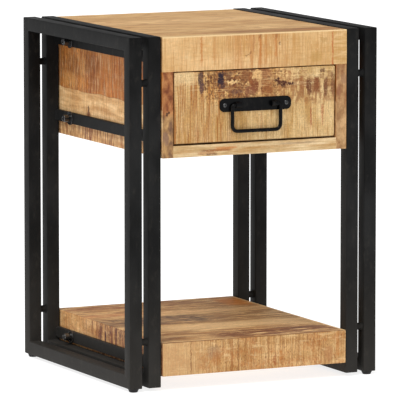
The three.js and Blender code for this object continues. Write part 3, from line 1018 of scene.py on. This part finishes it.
def make_handle(metal, screw_metal):
    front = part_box("drawer_front")[0].y
    plate_low, plate_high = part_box("handle_plate")
    hinge = next(joint for joint in frame["joints"] if joint["name"] == "bail_hinge")
    pivot = Vector(hinge["pos_m"])
    radius = 7.5 * MM
    half_x = plate_high.x - radius
    half_z = (plate_high.z - plate_low.z) / 2 - radius
    outline = []
    for quarter in range(4):
        middle = math.pi / 4 + quarter * math.pi / 2
        centre_x = math.copysign(half_x, math.cos(middle))
        centre_z = pivot.z + math.copysign(half_z, math.sin(middle))
        outline += arc((centre_x, centre_z), radius, middle - math.pi / 4, math.pi / 2, 8)

    def plate_radius(a, b):
        face = front - PLATE_THICKNESS
        return 0.4 * MM if near(a.y, face) and near(b.y, face) else 0

    shape = prism(outline, 1, front - PLATE_THICKNESS, front)
    piece = worn("handle_plate_steel", shape, plate_radius, 0.004, 0.1 * MM, 21)
    bm = bmesh.new()
    bm.from_mesh(piece.data)
    for side in (-1, 1):
        start = Vector((side * KNUCKLE_NEAR, pivot.y, pivot.z))
        length = KNUCKLE_FAR - KNUCKLE_NEAR
        matrix = facing(X * side, start)
        rim = 0.3 * MM
        profile = [
            (KNUCKLE_INNER, 0),
            (KNUCKLE_OUTER - rim, 0),
            (KNUCKLE_OUTER, rim),
            (KNUCKLE_OUTER, length - rim),
            (KNUCKLE_OUTER - rim, length),
            (KNUCKLE_INNER, length),
        ]
        loft(bm, [circle_points(r, h, 36, matrix) for r, h in profile], wrap=True)
    bmesh.ops.recalc_face_normals(bm, faces=bm.faces)
    store(bm, piece.data, 32)
    stands_for(piece, metal, "black_hardware", "handle_plate")

    bail_low, bail_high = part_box("handle_bail")
    rod_radius = 2.6 * MM
    leg = bail_high.x - rod_radius
    grip = bail_low.z + rod_radius
    tip = KNUCKLE_NEAR + 1.5 * MM
    corners = [
        (-leg, pivot.z, 4 * MM),
        (-leg, grip, 8 * MM),
        (leg, grip, 8 * MM),
        (leg, pivot.z, 4 * MM),
    ]
    points = [Vector((-tip, pivot.y, pivot.z))]
    places = [points[0], *(Vector((x, pivot.y, z)) for x, z, _ in corners), Vector((tip, pivot.y, pivot.z))]
    for number, (x, z, bend) in enumerate(corners):
        at = Vector((x, pivot.y, z))
        back = (places[number] - at).normalized() * bend
        ahead = (places[number + 2] - at).normalized() * bend
        centre = at + back + ahead
        for step in range(9):
            t = step * math.pi / 16
            points.append(centre - ahead * math.cos(t) - back * math.sin(t))
    points.append(places[-1])
    fine = []
    for a, b in zip(points, points[1:]):
        pieces = max(1, round((b - a).length / (3 * MM)))
        fine.extend(a.lerp(b, i / pieces) for i in range(pieces))
    fine.append(points[-1])
    bm = bmesh.new()
    rod(bm, fine, rod_radius)
    stands_for(made("handle_bail_rod", bm, 60), metal, "black_hardware", "handle_bail")

    def cross(reach, narrow):
        def recess(angle):
            return (narrow + (reach - narrow) * abs(math.cos(2 * angle)) ** 3) * MM

        return recess

    profile = [  # the shank, the domed head, and the cross-shaped recess
        (1.4 * MM, -9 * MM),
        (1.4 * MM, -0.2 * MM),
        (3.3 * MM, -0.1 * MM),
        (3.3 * MM, 0.4 * MM),
        (3.1 * MM, 0.9 * MM),
        (2.6 * MM, 1.4 * MM),
        (2.0 * MM, 1.75 * MM),
        (cross(1.75, 0.75), 1.9 * MM),
        (cross(1.6, 0.55), 1.75 * MM),
        (cross(1.1, 0.3), 0.3 * MM),
    ]
    for name, side in SIDES:
        node = "handle_screw_" + name
        low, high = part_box(node)
        centre = Vector(((low.x + high.x) / 2, front - PLATE_THICKNESS, pivot.z))
        matrix = facing(-Y, centre) @ Matrix.Rotation(0.5 + side, 4, "Z")
        bm = bmesh.new()
        turned(bm, profile, matrix, 48)
        stands_for(made(node + "_cross", bm, 40), screw_metal, "black_hardware", node)


# ---- Wood looks ----
PALE = (236, 202, 152)
CREAM = (240, 212, 164)
GOLD = (198, 146, 82)
ORANGE = (190, 118, 56)
RUST = (158, 84, 44)
BROWN = (128, 80, 48)
UMBER = (92, 56, 38)
PLUM = (66, 44, 50)
GREY = (150, 122, 96)


def rail_look():
    """The rail over the drawer: pale, with thin orange saw lines."""
    g = Wood("wood_rail", "top_front_rail", 0, (0, 2), 2)
    g.base((120, 60, 40), (206, 160, 102), (230, 190, 138), (216, 173, 118), ends=(0.34, 0.66))
    right = g.within(0, 150, 400, 60)
    g.layer(right, (196, 152, 92), 0.4)
    g.fleck((2.0, 20, 55), 0.5, 0.66, 2, 2, (186, 128, 68), 0.5)
    cluster = g.within(0, 108, 196, 20)
    g.fleck((1.4, 20, 50), 0.46, 0.58, 15, 2, (178, 112, 54), 0.6, cluster)
    g.fleck((0.9, 20, 60), 0.5, 0.7, 3, 2, CREAM, 0.4)
    g.fleck((5, 20, 9), 0.6, 0.72, 4, 2, CREAM, 0.3)
    g.uneven((1.3, 3, 5), 0.07, 11, 0.3)
    g.uneven((22, 6, 2.2), 0.04, 12, 0.2)
    g.fleck((14, 20, 2.2), 0.55, 0.68, 16, 3, (198, 146, 86), 0.45)
    g.marks(
        0.6,
        (60.5, 32, 1.6, 22, ORANGE, 0.75),
        (80, 30, 1.0, 20, ORANGE, 0.3),
        (113, 28, 1.6, 24, ORANGE, 0.32),
        (121, 24, 1.3, 26, ORANGE, 0.35),
        (128, 30, 1.2, 18, GOLD, 0.6),
        (138, 26, 1.3, 26, ORANGE, 0.45),
        (142, 36, 1.4, 12, RUST, 0.45),
        (152, 30, 1.9, 24, ORANGE, 0.75),
        (152.5, 45, 2.4, 4, BROWN, 0.55),
        (162, 26, 1.3, 22, ORANGE, 0.45),
        (167, 24, 4, 5, GOLD, 0.5),
        (177, 32, 1.6, 20, ORANGE, 0.6),
        (177, 45, 2.2, 4, BROWN, 0.4),
        (182, 34, 1.6, 1.3, UMBER, 0.7),
        (132, 19, 3.4, 0.9, BROWN, 0.6),
        (137, 21, 1.2, 2.2, BROWN, 0.55),
        (207, 30, 4, 18, GOLD, 0.35),
        (241, 12, 8, 7, (180, 138, 72), 0.5),
        (252, 36, 5, 3, (176, 134, 74), 0.5),
        (266.5, 24, 0.9, 40, (186, 100, 48), 0.8),
    )
    end_piece = g.within(0, 268, 400, 0.6)
    g.fleck((16, 20, 3), 0.4, 0.62, 5, 2, (190, 144, 78), 0.6, end_piece)
    g.fleck((26, 20, 5), 0.45, 0.6, 6, 2, PALE, 0.4, end_piece)
    # Painted highlight: a cream band along the rounded top edge.
    g.arris(2, g.high.z, 2.2, CREAM, 0.7)
    g.end_grain((150, 104, 62), (190, 146, 98))
    return g.finish(0.6, 0.2, 0.0004, (0.96, 0.96, 0.95))


def drawer_look():
    """The drawer front: yellow below with golden stripes, stained and mottled along its top."""
    g = Wood("wood_drawer", "drawer_front", 0, (0, 2), 18)
    g.base((26, 40, 60), (192, 152, 92), (226, 194, 142), (210, 174, 120), ends=(0.36, 0.62))
    g.layer(g.within(0, -20, 70, 40), (196, 146, 84), 0.5)
    lower = g.within(2, -20, 62, 14)
    upper = g.within(2, 66, 120, 12)
    left = g.within(0, -20, 92, 26)
    g.fleck((2.4, 30, 70), 0.46, 0.56, 2, 3, (160, 96, 38), 0.8, left)
    g.fleck((1.9, 30, 60), 0.48, 0.6, 3, 3, (178, 126, 64), 0.5, lower)
    g.fleck((1.1, 30, 60), 0.5, 0.62, 4, 3, CREAM, 0.5)
    g.fleck((1.0, 30, 30), 0.54, 0.66, 13, 3, (130, 84, 46), 0.5)
    g.mark(15, 94, 20, 9, CREAM, 0.55, 0.7)
    # The brown mottled cloud above the handle, and the fainter one at the right.
    cloud = g.both(g.spot(110, 84, 46, 22, 0.35), g.blots((7, 20, 6), 0.36, 0.5, 5, 5))
    g.layer(cloud, (130, 80, 46), 0.85)
    g.fleck((3, 20, 3.4), 0.48, 0.56, 6, 4, (92, 54, 38), 0.75, g.spot(105, 82, 62, 26, 0.4))
    rough_top = g.both(g.spot(172, 88, 40, 15, 0.5), g.blots((4, 20, 3), 0.48, 0.58, 17, 4))
    g.layer(rough_top, (156, 106, 70), 0.6)
    band = g.both(g.spot(200, 68, 60, 17, 0.5), g.blots((5, 20, 12), 0.4, 0.54, 14, 5))
    g.layer(band, (146, 92, 52), 0.7)
    g.fleck((26, 20, 1.3), 0.52, 0.68, 15, 2, CREAM, 0.45, upper)
    g.fleck((3.4, 20, 3), 0.6, 0.72, 16, 2, (120, 76, 48), 0.5, upper)
    g.marks(
        0.45,
        (41, 90, 3.6, 9, (58, 40, 52), 0.9),
        (42.5, 77, 3.4, 6, (78, 54, 62), 0.85),
        (48, 86, 1.0, 9, UMBER, 0.6),
        (53, 96, 1.8, 4, UMBER, 0.75),
        (53, 83, 2.2, 5, UMBER, 0.8),
        (62, 91, 2.0, 9, UMBER, 0.7),
        (66, 94, 1.4, 6, BROWN, 0.6),
        (57, 89, 1.2, 6, UMBER, 0.85),
        (48, 77, 1.3, 4, UMBER, 0.7),
        (61, 79, 1.5, 4, BROWN, 0.75),
        (78, 96, 2.2, 3, UMBER, 0.7),
        (72, 89, 4.6, 9, (40, 30, 46), 1.0),
        (75, 80, 3.6, 4, PLUM, 0.7),
        (84, 92, 5, 7, (96, 62, 48), 0.6),
        (90, 84, 7.5, 2.2, CREAM, 0.8),
        (89, 87.5, 6.5, 1.4, UMBER, 0.8),
        (96, 78, 11, 2.6, (110, 66, 46), 0.6),
        (97, 70, 9, 2.6, (96, 70, 70), 0.6),
        (112, 93, 6, 6, (126, 80, 50), 0.6),
        (126, 78, 9, 8, (120, 66, 40), 0.85),
        (118, 70, 8, 5, (130, 82, 62), 0.7),
        (119, 88, 2.6, 9, (140, 84, 48), 0.7),
        (130, 92, 7, 6, PALE, 0.65),
        (133, 74, 2.4, 12, PALE, 0.5),
        (144, 93, 8, 5, (150, 104, 74), 0.6),
        (160, 84, 3.8, 3.4, (70, 36, 28), 1.0),
        (168, 79, 6.5, 3.6, (70, 32, 24), 1.0),
        (180, 78.5, 7, 1.8, (76, 38, 30), 1.0),
        (172, 73, 3, 2, UMBER, 0.8),
        (166, 96, 1.8, 1.8, UMBER, 0.8),
        (173, 94, 0.9, 6, BROWN, 0.7),
        (180, 92, 2.6, 5, (156, 100, 62), 0.6),
        (199, 74, 3.4, 12, (150, 92, 52), 0.55),
        (211, 72, 3.8, 11, (104, 54, 30), 0.9),
        (222, 74, 4.6, 11, (128, 70, 36), 0.9),
        (237, 70, 3.4, 12, (112, 64, 38), 0.85),
        (248, 76, 2.6, 16, (120, 72, 44), 0.8),
        (232, 95, 3.6, 3.4, (92, 52, 36), 0.85),
        (231, 86, 3.4, 3, BROWN, 0.6),
        (243, 90, 2.6, 3, BROWN, 0.5),
        (214, 30, 1.2, 15, (166, 84, 48), 0.7),
        (232, 32, 1.4, 14, (170, 92, 54), 0.7),
        (136, 28, 1.3, 14, (180, 120, 70), 0.5),
        (206, 52, 2.6, 10, (176, 120, 66), 0.4),
    )
    g.multiply(g.spot(110, 84, 64, 26, 0.6), (1.12, 1.02, 0.86))
    g.uneven((1.2, 3, 4), 0.16, 11, 0.4)
    g.uneven((12, 6, 1.5), 0.09, 12, 0.3)
    g.pores(0.25)
    # Painted shade: a dark band along the bottom edge, for the shadow in the gap below the drawer.
    g.arris(2, g.low.z, 1.6, UMBER, 0.4)
    g.end_grain((140, 96, 60), (186, 142, 94))
    return g.finish(0.6, 0.2, 0.0005, (0.93, 0.91, 0.86))


def strip_look():
    """The bottom panel's front edge, with orange streaks left of the middle."""
    g = Wood("wood_bottom", "bottom_panel", 0, (0, 2), 9, (10, 3, 1.6))
    g.base((60, 60, 7), (190, 154, 104), (228, 200, 156), (210, 180, 134))
    g.fleck((40, 30, 1.4), 0.5, 0.66, 2, 2, (182, 134, 78), 0.5)
    g.marks(
        0.6,
        (52, 4.4, 13, 1.8, (164, 104, 52), 0.65),
        (66, 8, 20, 1.4, (120, 74, 40), 0.8),
        (82, 10.5, 15, 1.6, (186, 112, 48), 0.8),
        (72, 7.5, 18, 1.0, (168, 104, 50), 0.7),
        (60, 2.5, 8, 1.2, UMBER, 0.6),
        (150, 9, 36, 1.6, (176, 128, 70), 0.6),
        (196, 12, 26, 1.2, GREY, 0.6),
        (230, 7, 20, 1.3, (184, 136, 80), 0.5),
        (16, 8, 12, 2, (190, 146, 96), 0.5),
    )
    g.uneven((7, 6, 1.3), 0.09, 11, 0.3)
    g.uneven((1.6, 3, 6), 0.05, 12, 0.2)
    g.end_grain((150, 104, 62), (190, 146, 98))
    return g.finish(0.6, 0.2, 0.0003)


def planks(g, axis, edges, tones):
    """Staves glued edge to edge: each has a tone of its own and a thin dark joint beside it."""
    for start, end, tone in zip(edges, edges[1:], tones):
        g.layer(g.within(axis, start, end, 0.7), tone, 0.55)
    value = g.reach(g.place, axis)
    for edge in edges[1:-1]:
        g.layer(g.line(value, edge, 0.2, 0.8), BROWN, 0.35)


def top_look():
    """The top: smooth staves that run left to right, with a darker band behind the front edge."""
    g = Wood("wood_top", "top_board", 0, (0, 1), 1, (14, 5, 5))
    g.base((90, 16, 30), (178, 132, 82), (226, 184, 132), (206, 162, 110))
    planks(
        g,
        1,
        (0, 66, 128, 196, 262, 330, 372),
        (
            (196, 150, 100),
            (214, 172, 122),
            (200, 156, 108),
            (222, 180, 132),
            (204, 162, 114),
            (220, 178, 126),
        ),
    )
    g.rings((150, 98, 54), 0.5, 46, (150, 26, 60))
    g.fleck((60, 4, 20), 0.52, 0.68, 2, 2, (160, 108, 62), 0.5)
    g.fleck((80, 3, 20), 0.54, 0.7, 3, 2, CREAM, 0.45)
    dark = g.both(g.spot(200, 30, 96, 20, 0.5), g.blots((50, 4, 20), 0.34, 0.52, 4, 3))
    g.layer(dark, (134, 88, 50), 0.8)
    g.fleck((90, 1.6, 20), 0.54, 0.62, 14, 3, (150, 104, 62), 0.5)
    g.mark(252, 22, 24, 7, (172, 110, 56), 0.6, 0.7)
    # Pale wood and a painted highlight: a pale band just behind the front edge at the left, widening the
    # bright edge line there.
    g.mark(66, 12, 70, 5, PALE, 0.5, 0.8)
    g.uneven((9, 1.2, 4), 0.06, 11, 0.1)
    g.pores(0.16)
    # Painted highlight: a cream band along the rounded front edge.
    g.arris(1, g.low.y, 3.4, CREAM, 0.8)
    g.end_grain((150, 100, 60), (192, 144, 94))
    return g.finish(0.55, 0.2, 0.0002, (0.97, 0.98, 0.9))


def shelf_look():
    """The shelf: staves with a feathered grey figure at the left and brown patches along the front."""
    g = Wood("wood_shelf", "shelf_board", 0, (0, 1), 5, (14, 8, 5))
    g.base((90, 14, 30), (158, 112, 66), (216, 172, 118), (188, 144, 94))
    planks(
        g,
        1,
        (0, 78, 150, 226, 262, 316, 372),
        (
            (182, 132, 80),
            (206, 164, 112),
            (176, 136, 94),
            (214, 170, 116),
            (186, 132, 80),
            (168, 112, 66),
        ),
    )
    g.rings((128, 84, 50), 0.45, 50, (140, 22, 60))
    g.fleck((46, 5, 20), 0.48, 0.56, 2, 4, (142, 94, 54), 0.6)
    g.fleck((60, 4.2, 20), 0.5, 0.57, 3, 4, (240, 204, 152), 0.75)
    g.fleck((60, 1.8, 20), 0.54, 0.6, 16, 4, (112, 72, 44), 0.6)
    feather = g.both(g.spot(66, 196, 96, 34, 0.5), g.blots((24, 5.5, 20), 0.46, 0.53, 4, 4, 0.35))
    g.layer(feather, (74, 56, 48), 0.85)
    g.layer(g.spot(64, 196, 76, 26, 0.6), (126, 98, 76), 0.3)
    g.layer(g.spot(160, 118, 110, 22, 0.6), (240, 204, 154), 0.55)
    g.layer(g.spot(170, 250, 110, 16, 0.6), (236, 196, 146), 0.4)
    g.fleck((24, 6, 20), 0.42, 0.54, 24, 3, (186, 110, 66), 0.6, g.spot(40, 268, 70, 12, 0.6))
    front = g.both(g.spot(190, 36, 92, 28, 0.45), g.blots((22, 6, 20), 0.42, 0.5, 14, 5))
    g.layer(front, (100, 52, 28), 0.85)
    g.mark(236, 50, 10, 6, UMBER, 0.7, 0.6)
    g.mark(264, 318, 18, 30, (192, 116, 40), 0.85, 0.9)
    g.fleck((30, 5, 20), 0.44, 0.56, 15, 4, (128, 68, 40), 0.7, g.spot(120, 340, 90, 18, 0.6))
    g.multiply(g.within(0, -20, 84, 40), (0.8, 0.75, 0.7))
    g.uneven((8, 1.6, 4), 0.15, 11, 0.1)
    g.pores(0.25)
    # Painted shade: a dark band along the front edge, in the crease where the board meets the front rail.
    g.arris(1, g.low.y, 2.4, UMBER, 0.65)
    # Painted highlight: a pale band along the right edge.
    g.arris(0, g.high.x, 6, PALE, 0.6)
    g.end_grain((140, 92, 56), (184, 136, 88))
    return g.finish(0.55, 0.2, 0.0002, (1.12, 1.12, 1.06))


def shelf_rail_look(name, node, grain, seed, light=1.0):
    """A rail round the shelf: saw marks from top to bottom, with orange mottles and speckles."""
    g = Wood(name, node, grain, (grain, 2), seed)
    tones = [
        tuple(c * light for c in srgb(*tone)[:3]) + (1,)
        for tone in ((184, 134, 80), (222, 176, 122), (204, 158, 104))
    ]
    g.base(g.stretch(60, 26), tones[0], tones[1], tones[2])
    g.fleck(g.sawn(1.2, 40), 0.5, 0.58, 2, 4, (140, 88, 46), 0.6)
    g.fleck(g.sawn(1.4, 40), 0.52, 0.64, 3, 3, PALE, 0.5)
    patches = g.blots(g.stretch(34, 18), 0.44, 0.56, 4, 3)
    g.fleck((2.6, 2.6, 4.2), 0.42, 0.54, 6, 4, (176, 102, 46), 0.45, patches)
    g.fleck((2.2, 2.2, 4), 0.58, 0.66, 8, 3, (124, 72, 40), 0.6)
    g.fleck(g.stretch(24, 5), 0.56, 0.68, 14, 2, PALE, 0.4)
    g.uneven((1.2, 1.2, 3.4), 0.16, 11, 0.4)
    g.pores(0.18)
    return g


def shelf_front_look():
    g = shelf_rail_look("wood_shelf_front", "shelf_rail_front", 0, 14)
    g.layer(g.within(0, -20, 60, 30), (222, 182, 134), 0.5)
    g.marks(
        0.6,
        (44, 24, 1.1, 22, (140, 92, 54), 0.7),
        (80, 30, 9, 8, (150, 112, 84), 0.6),
        (84, 20, 5, 10, (176, 110, 54), 0.5),
        (108, 26, 2, 26, (158, 98, 50), 0.6),
        (118, 24, 1.0, 26, (126, 82, 48), 0.6),
        (129, 22, 1.0, 26, (140, 90, 50), 0.55),
        (166, 30, 1.4, 20, (148, 98, 54), 0.6),
        (176, 12, 2.4, 6, RUST, 0.6),
        (186, 18, 2.2, 7, ORANGE, 0.5),
        (214, 26, 1.2, 22, (152, 100, 54), 0.6),
        (262, 16, 6, 9, (180, 122, 80), 0.5),
        (276, 30, 2.4, 18, ORANGE, 0.45),
    )
    # Painted shade: a dark band along the top edge, in the crease under the board's rounded front edge.
    g.arris(2, g.high.z, 1.3, UMBER, 0.5)
    g.end_grain((140, 92, 58), (184, 138, 90))
    return g.finish(0.6, 0.2, 0.0005, (0.93, 0.94, 0.9))


def shelf_left_look():
    """Pale at the back, with brown and purple streaks towards the front."""
    g = shelf_rail_look("wood_shelf_left", "shelf_rail_left", 1, 16, 1.32)
    brown = g.both(g.within(1, -20, 262, 30), g.blots(g.sawn(1.7, 60), 0.5, 0.55, 5, 3))
    g.layer(brown, (112, 58, 44), 0.85)
    streaks = g.blots(g.sawn(1.8, 44), 0.51, 0.55, 7, 3)
    dark = g.both(g.within(1, -20, 215, 16), streaks, g.blots((3, 3, 7), 0.38, 0.46, 25, 3))
    g.layer(dark, (76, 36, 44), 0.95)
    g.end_grain((140, 92, 58), (184, 138, 90))
    return g.finish(0.6, 0.2, 0.0005)


def plain_rail_look(name, node, grain, seed):
    g = shelf_rail_look(name, node, grain, seed)
    g.end_grain((140, 92, 58), (184, 138, 90))
    return g.finish(0.6, 0.2, 0.0005)


def side_look(name, side):
    """Two boards glued edge to edge: an orange-brown one above, a pale one below."""
    g = Wood("wood_side_" + name, "side_panel_" + name, 1, (1, 2), 3 + side)
    g.base((60, 46, 60), (152, 84, 30), (208, 134, 58), (182, 107, 42), 1, 3.0, 0.1)
    upper = g.colour
    g.base((60, 50, 9), (196, 146, 92), (246, 206, 152), (226, 180, 124), 8, 3.0, 0.15, (0.34, 0.66))
    seam = 69.0  # height of the joint between the two boards
    wave = g.math("MULTIPLY", g.math("SUBTRACT", g.texture((60, 60, 400), 21), 0.5), 10.0)
    height = g.reach(g.place, 2)
    level = g.math("ADD", height, wave)
    above = g.fade(level, seam - 0.8, seam + 0.8)
    g.colour = g.mix(above, g.colour, upper)
    g.fleck((30, 3.4, 80), 0.44, 0.56, 2, 4, (138, 76, 36), 0.6, above)
    g.fleck((30, 2.6, 60), 0.48, 0.56, 3, 4, (224, 162, 92), 0.65, above)
    g.fleck((8, 3.4, 6), 0.52, 0.58, 4, 4, (112, 66, 30), 0.6, above, g.within(1, 240, 400, 50))
    for across, up, wide, tall, tint, strength in (
        (300, 104, 22, 13, (122, 72, 34), 0.6),
        (236, 112, 24, 12, (118, 66, 30), 0.6),
        (218, 84, 26, 9, (150, 84, 36), 0.55),
        (318, 82, 20, 10, (222, 170, 104), 0.6),
        (272, 96, 8, 22, (222, 168, 104), 0.5),
        (196, 108, 12, 16, (198, 132, 74), 0.5),
        (166, 80, 22, 8, (214, 140, 72), 0.6),
        (154, 100, 3, 30, (206, 128, 60), 0.6),
    ):
        cloud = g.spot(across, up, wide, tall, 0.7)
        g.fleck((30, 3.2, 44), 0.36, 0.54, 18, 3, tint, strength, above, cloud)
    g.multiply(above, (0.99, 0.86, 0.68))
    g.multiply(g.both(above, g.within(1, -20, 235, 50)), (0.9, 0.8, 0.64))
    g.fleck((30, 1.6, 60), 0.56, 0.64, 13, 3, (96, 54, 32), 0.5, above)
    g.fleck((30, 60, 2.4), 0.54, 0.66, 15, 3, (176, 124, 74), 0.3)
    g.fleck((30, 2.2, 30), 0.5, 0.62, 19, 3, (196, 136, 76), 0.45)
    g.fleck((30, 1.8, 24), 0.54, 0.64, 22, 3, CREAM, 0.45)
    g.fleck((30, 1.5, 26), 0.54, 0.62, 17, 3, (168, 112, 62), 0.4)
    under = g.within(2, -20, 22, 6)
    g.fleck((30, 4.4, 40), 0.48, 0.56, 5, 3, (140, 78, 44), 0.75, under)
    g.fleck((30, 2.4, 30), 0.56, 0.62, 6, 3, (104, 54, 42), 0.75, under)
    g.layer(g.line(level, seam, 0.0, 1.0), BROWN, 0.35)
    g.mark(251, 41, 2.4, 8, (88, 46, 30), 0.9)
    g.mark(251, 36, 6, 5, (128, 72, 38), 0.85)
    g.mark(245, 10, 5, 12, (124, 62, 40), 0.8)
    g.mark(262, 12, 3, 12, (110, 62, 54), 0.7)
    g.uneven((3, 1.4, 5), 0.1, 11, 0.4)
    g.uneven((3, 14, 2), 0.05, 12, 0.2)
    g.pores(0.2)
    # The front edge: reddish above and greyer below on the left, pinkish on the right.
    facing = g.fade(g.math("ABSOLUTE", g.parts(g.normal)[1]), 0.6, 0.9)
    speckle = g.texture((2.4, 2.4, 3.4), 9, 4, 0.7)
    cloud = g.texture((9, 9, 14), 10, 3)
    if side < 0:
        high_tones = ground_tones((116, 62, 36), (180, 122, 74), (152, 94, 54))
        low_tones = ground_tones((118, 86, 62), (188, 146, 96), (158, 119, 78))
        stains = (
            (8, 62, 5, 1.3, 0.7, (60, 36, 28), 0.85),
            (5, 28, 5, 9, 0.0, (120, 92, 84), 0.55),
            (12, 46, 3, 6, 0.0, (110, 76, 60), 0.55),
        )
    else:
        high_tones = ground_tones((144, 98, 62), (192, 150, 104), (170, 127, 84))
        low_tones = ground_tones((154, 112, 72), (200, 160, 114), (178, 138, 94))
        stains = (
            (4, 84, 3, 9, 0.0, (140, 84, 62), 0.5),
            (12, 100, 5, 7, 0.0, (132, 92, 70), 0.5),
        )
    edge = g.mix(g.fade(height, 54, 66), g.ramp(cloud, low_tones), g.ramp(cloud, high_tones))
    edge = g.shade(edge, g.fade(speckle, 0.3, 0.7, 0.86, 1.12))
    g.colour = g.mix(facing, g.colour, edge)
    for across, up, wide, tall, turn, tint, strength in stains:
        g.layer(g.both(facing, g.edge_mark(across, up, wide, tall, turn)), tint, strength)
    return g.finish(0.6, 0.2, 0.0005)


def inner_look(name, node, seed):
    """Plain planed wood inside the box and on its back."""
    g = Wood(name, node, 0, (0, 2), seed)
    g.base((160, 60, 9), (184, 144, 98), (226, 190, 146), (206, 170, 126), 1, 3, 0.1)
    g.rings(GOLD, 0.4, 34, (190, 120, 26))
    g.fleck((60, 30, 1.8), 0.52, 0.64, 2, 3, (178, 132, 86), 0.45)
    g.fleck((90, 30, 2.6), 0.54, 0.66, 3, 3, (236, 204, 162), 0.45)
    g.uneven((9, 4, 1.2), 0.09, 11, 0.2)
    g.pores(0.2)
    g.end_grain((160, 118, 78), (190, 150, 106))
    return g.finish(0.7, 0.2)


# ---- Light and floor ----
def sun(name, turn, rise, strength, size):
    """A sun from a direction: all angles are in degrees, and size is how wide it looks."""
    data = bpy.data.lights.new(name, "SUN")
    data.energy = strength
    data.angle = math.radians(size)
    lamp = bpy.data.objects.new(name, data)
    lamp.rotation_euler = direction(turn, rise).to_track_quat("Z", "Y").to_euler()
    bpy.context.scene.collection.objects.link(lamp)


def make_studio():
    """Two suns, a lit surround, a white backdrop that only the camera sees, and a white floor."""
    scene = bpy.context.scene
    scene.view_settings.view_transform = "Standard"
    world = bpy.data.worlds.new("studio")
    world.use_nodes = True
    nodes, links = world.node_tree.nodes, world.node_tree.links
    lighting = nodes["Background"]
    lighting.inputs["Color"].default_value = (1, 1, 1, 1)
    lighting.inputs["Strength"].default_value = 0.48
    backdrop = nodes.new("ShaderNodeBackground")
    backdrop.inputs["Color"].default_value = (1, 1, 1, 1)
    backdrop.inputs["Strength"].default_value = 1.1
    choice = nodes.new("ShaderNodeMixShader")
    links.new(nodes.new("ShaderNodeLightPath").outputs["Is Camera Ray"], choice.inputs["Fac"])
    links.new(lighting.outputs["Background"], choice.inputs[1])
    links.new(backdrop.outputs["Background"], choice.inputs[2])
    links.new(choice.outputs["Shader"], nodes["World Output"].inputs["Surface"])
    scene.world = world
    sun("key", turn=-58, rise=60, strength=2.3, size=40)
    sun("fill", turn=30, rise=30, strength=0.3, size=60)
    g = Graph("floor_paint")
    cloud = g.noise(g.scaled(g.place, (0.8, 0.8, 0.8)), 2)
    g.feed(g.shader.inputs["Base Color"], g.mix(cloud, (0.36, 0.36, 0.36, 1), (0.38, 0.38, 0.38, 1)))
    g.feed(g.shader.inputs["Roughness"], g.fade(cloud, 0.3, 0.7, 0.85, 0.95))
    g.shader.inputs["Specular IOR Level"].default_value = 0.1
    g.shader.inputs["Emission Color"].default_value = (1, 1, 1, 1)
    g.shader.inputs["Emission Strength"].default_value = 0.82
    bm = bmesh.new()
    bmesh.ops.create_circle(bm, cap_ends=True, segments=64, radius=150)
    floor = made("floor", bm)
    floor.data.materials.append(g.material)


make_camera()
make_studio()
paint = painted("black_paint", srgb(23, 23, 23), 0.5, 0.055, 1)
hardware = painted("black_enamel", srgb(4, 4, 5), 0.3, 0.1, 2)
bolt_black = painted("black_oxide", srgb(20, 20, 21), 0.2, 0.9, 3)
looks = {
    "top": top_look(),
    "rail": rail_look(),
    "side_left": side_look("left", -1),
    "side_right": side_look("right", 1),
    "bottom": strip_look(),
    "back": inner_look("wood_back", "back_panel", 12),
    "shelf": shelf_look(),
    "shelf_front": shelf_front_look(),
    "shelf_back": plain_rail_look("wood_shelf_back", "shelf_rail_back", 0, 15),
    "shelf_left": shelf_left_look(),
    "shelf_right": plain_rail_look("wood_shelf_right", "shelf_rail_right", 1, 17),
    "drawer": drawer_look(),
    "inner": inner_look("wood_inner", "drawer_back", 19),
    "ply": inner_look("wood_ply", "drawer_bottom", 20),
}
make_frames(paint)
make_spacers(paint)
make_feet(moulded("black_plastic"))
make_bars(paint)
make_bolts(bolt_black)
make_box(looks)
make_shelf(looks)
make_drawer(looks)
make_handle(hardware, bolt_black)
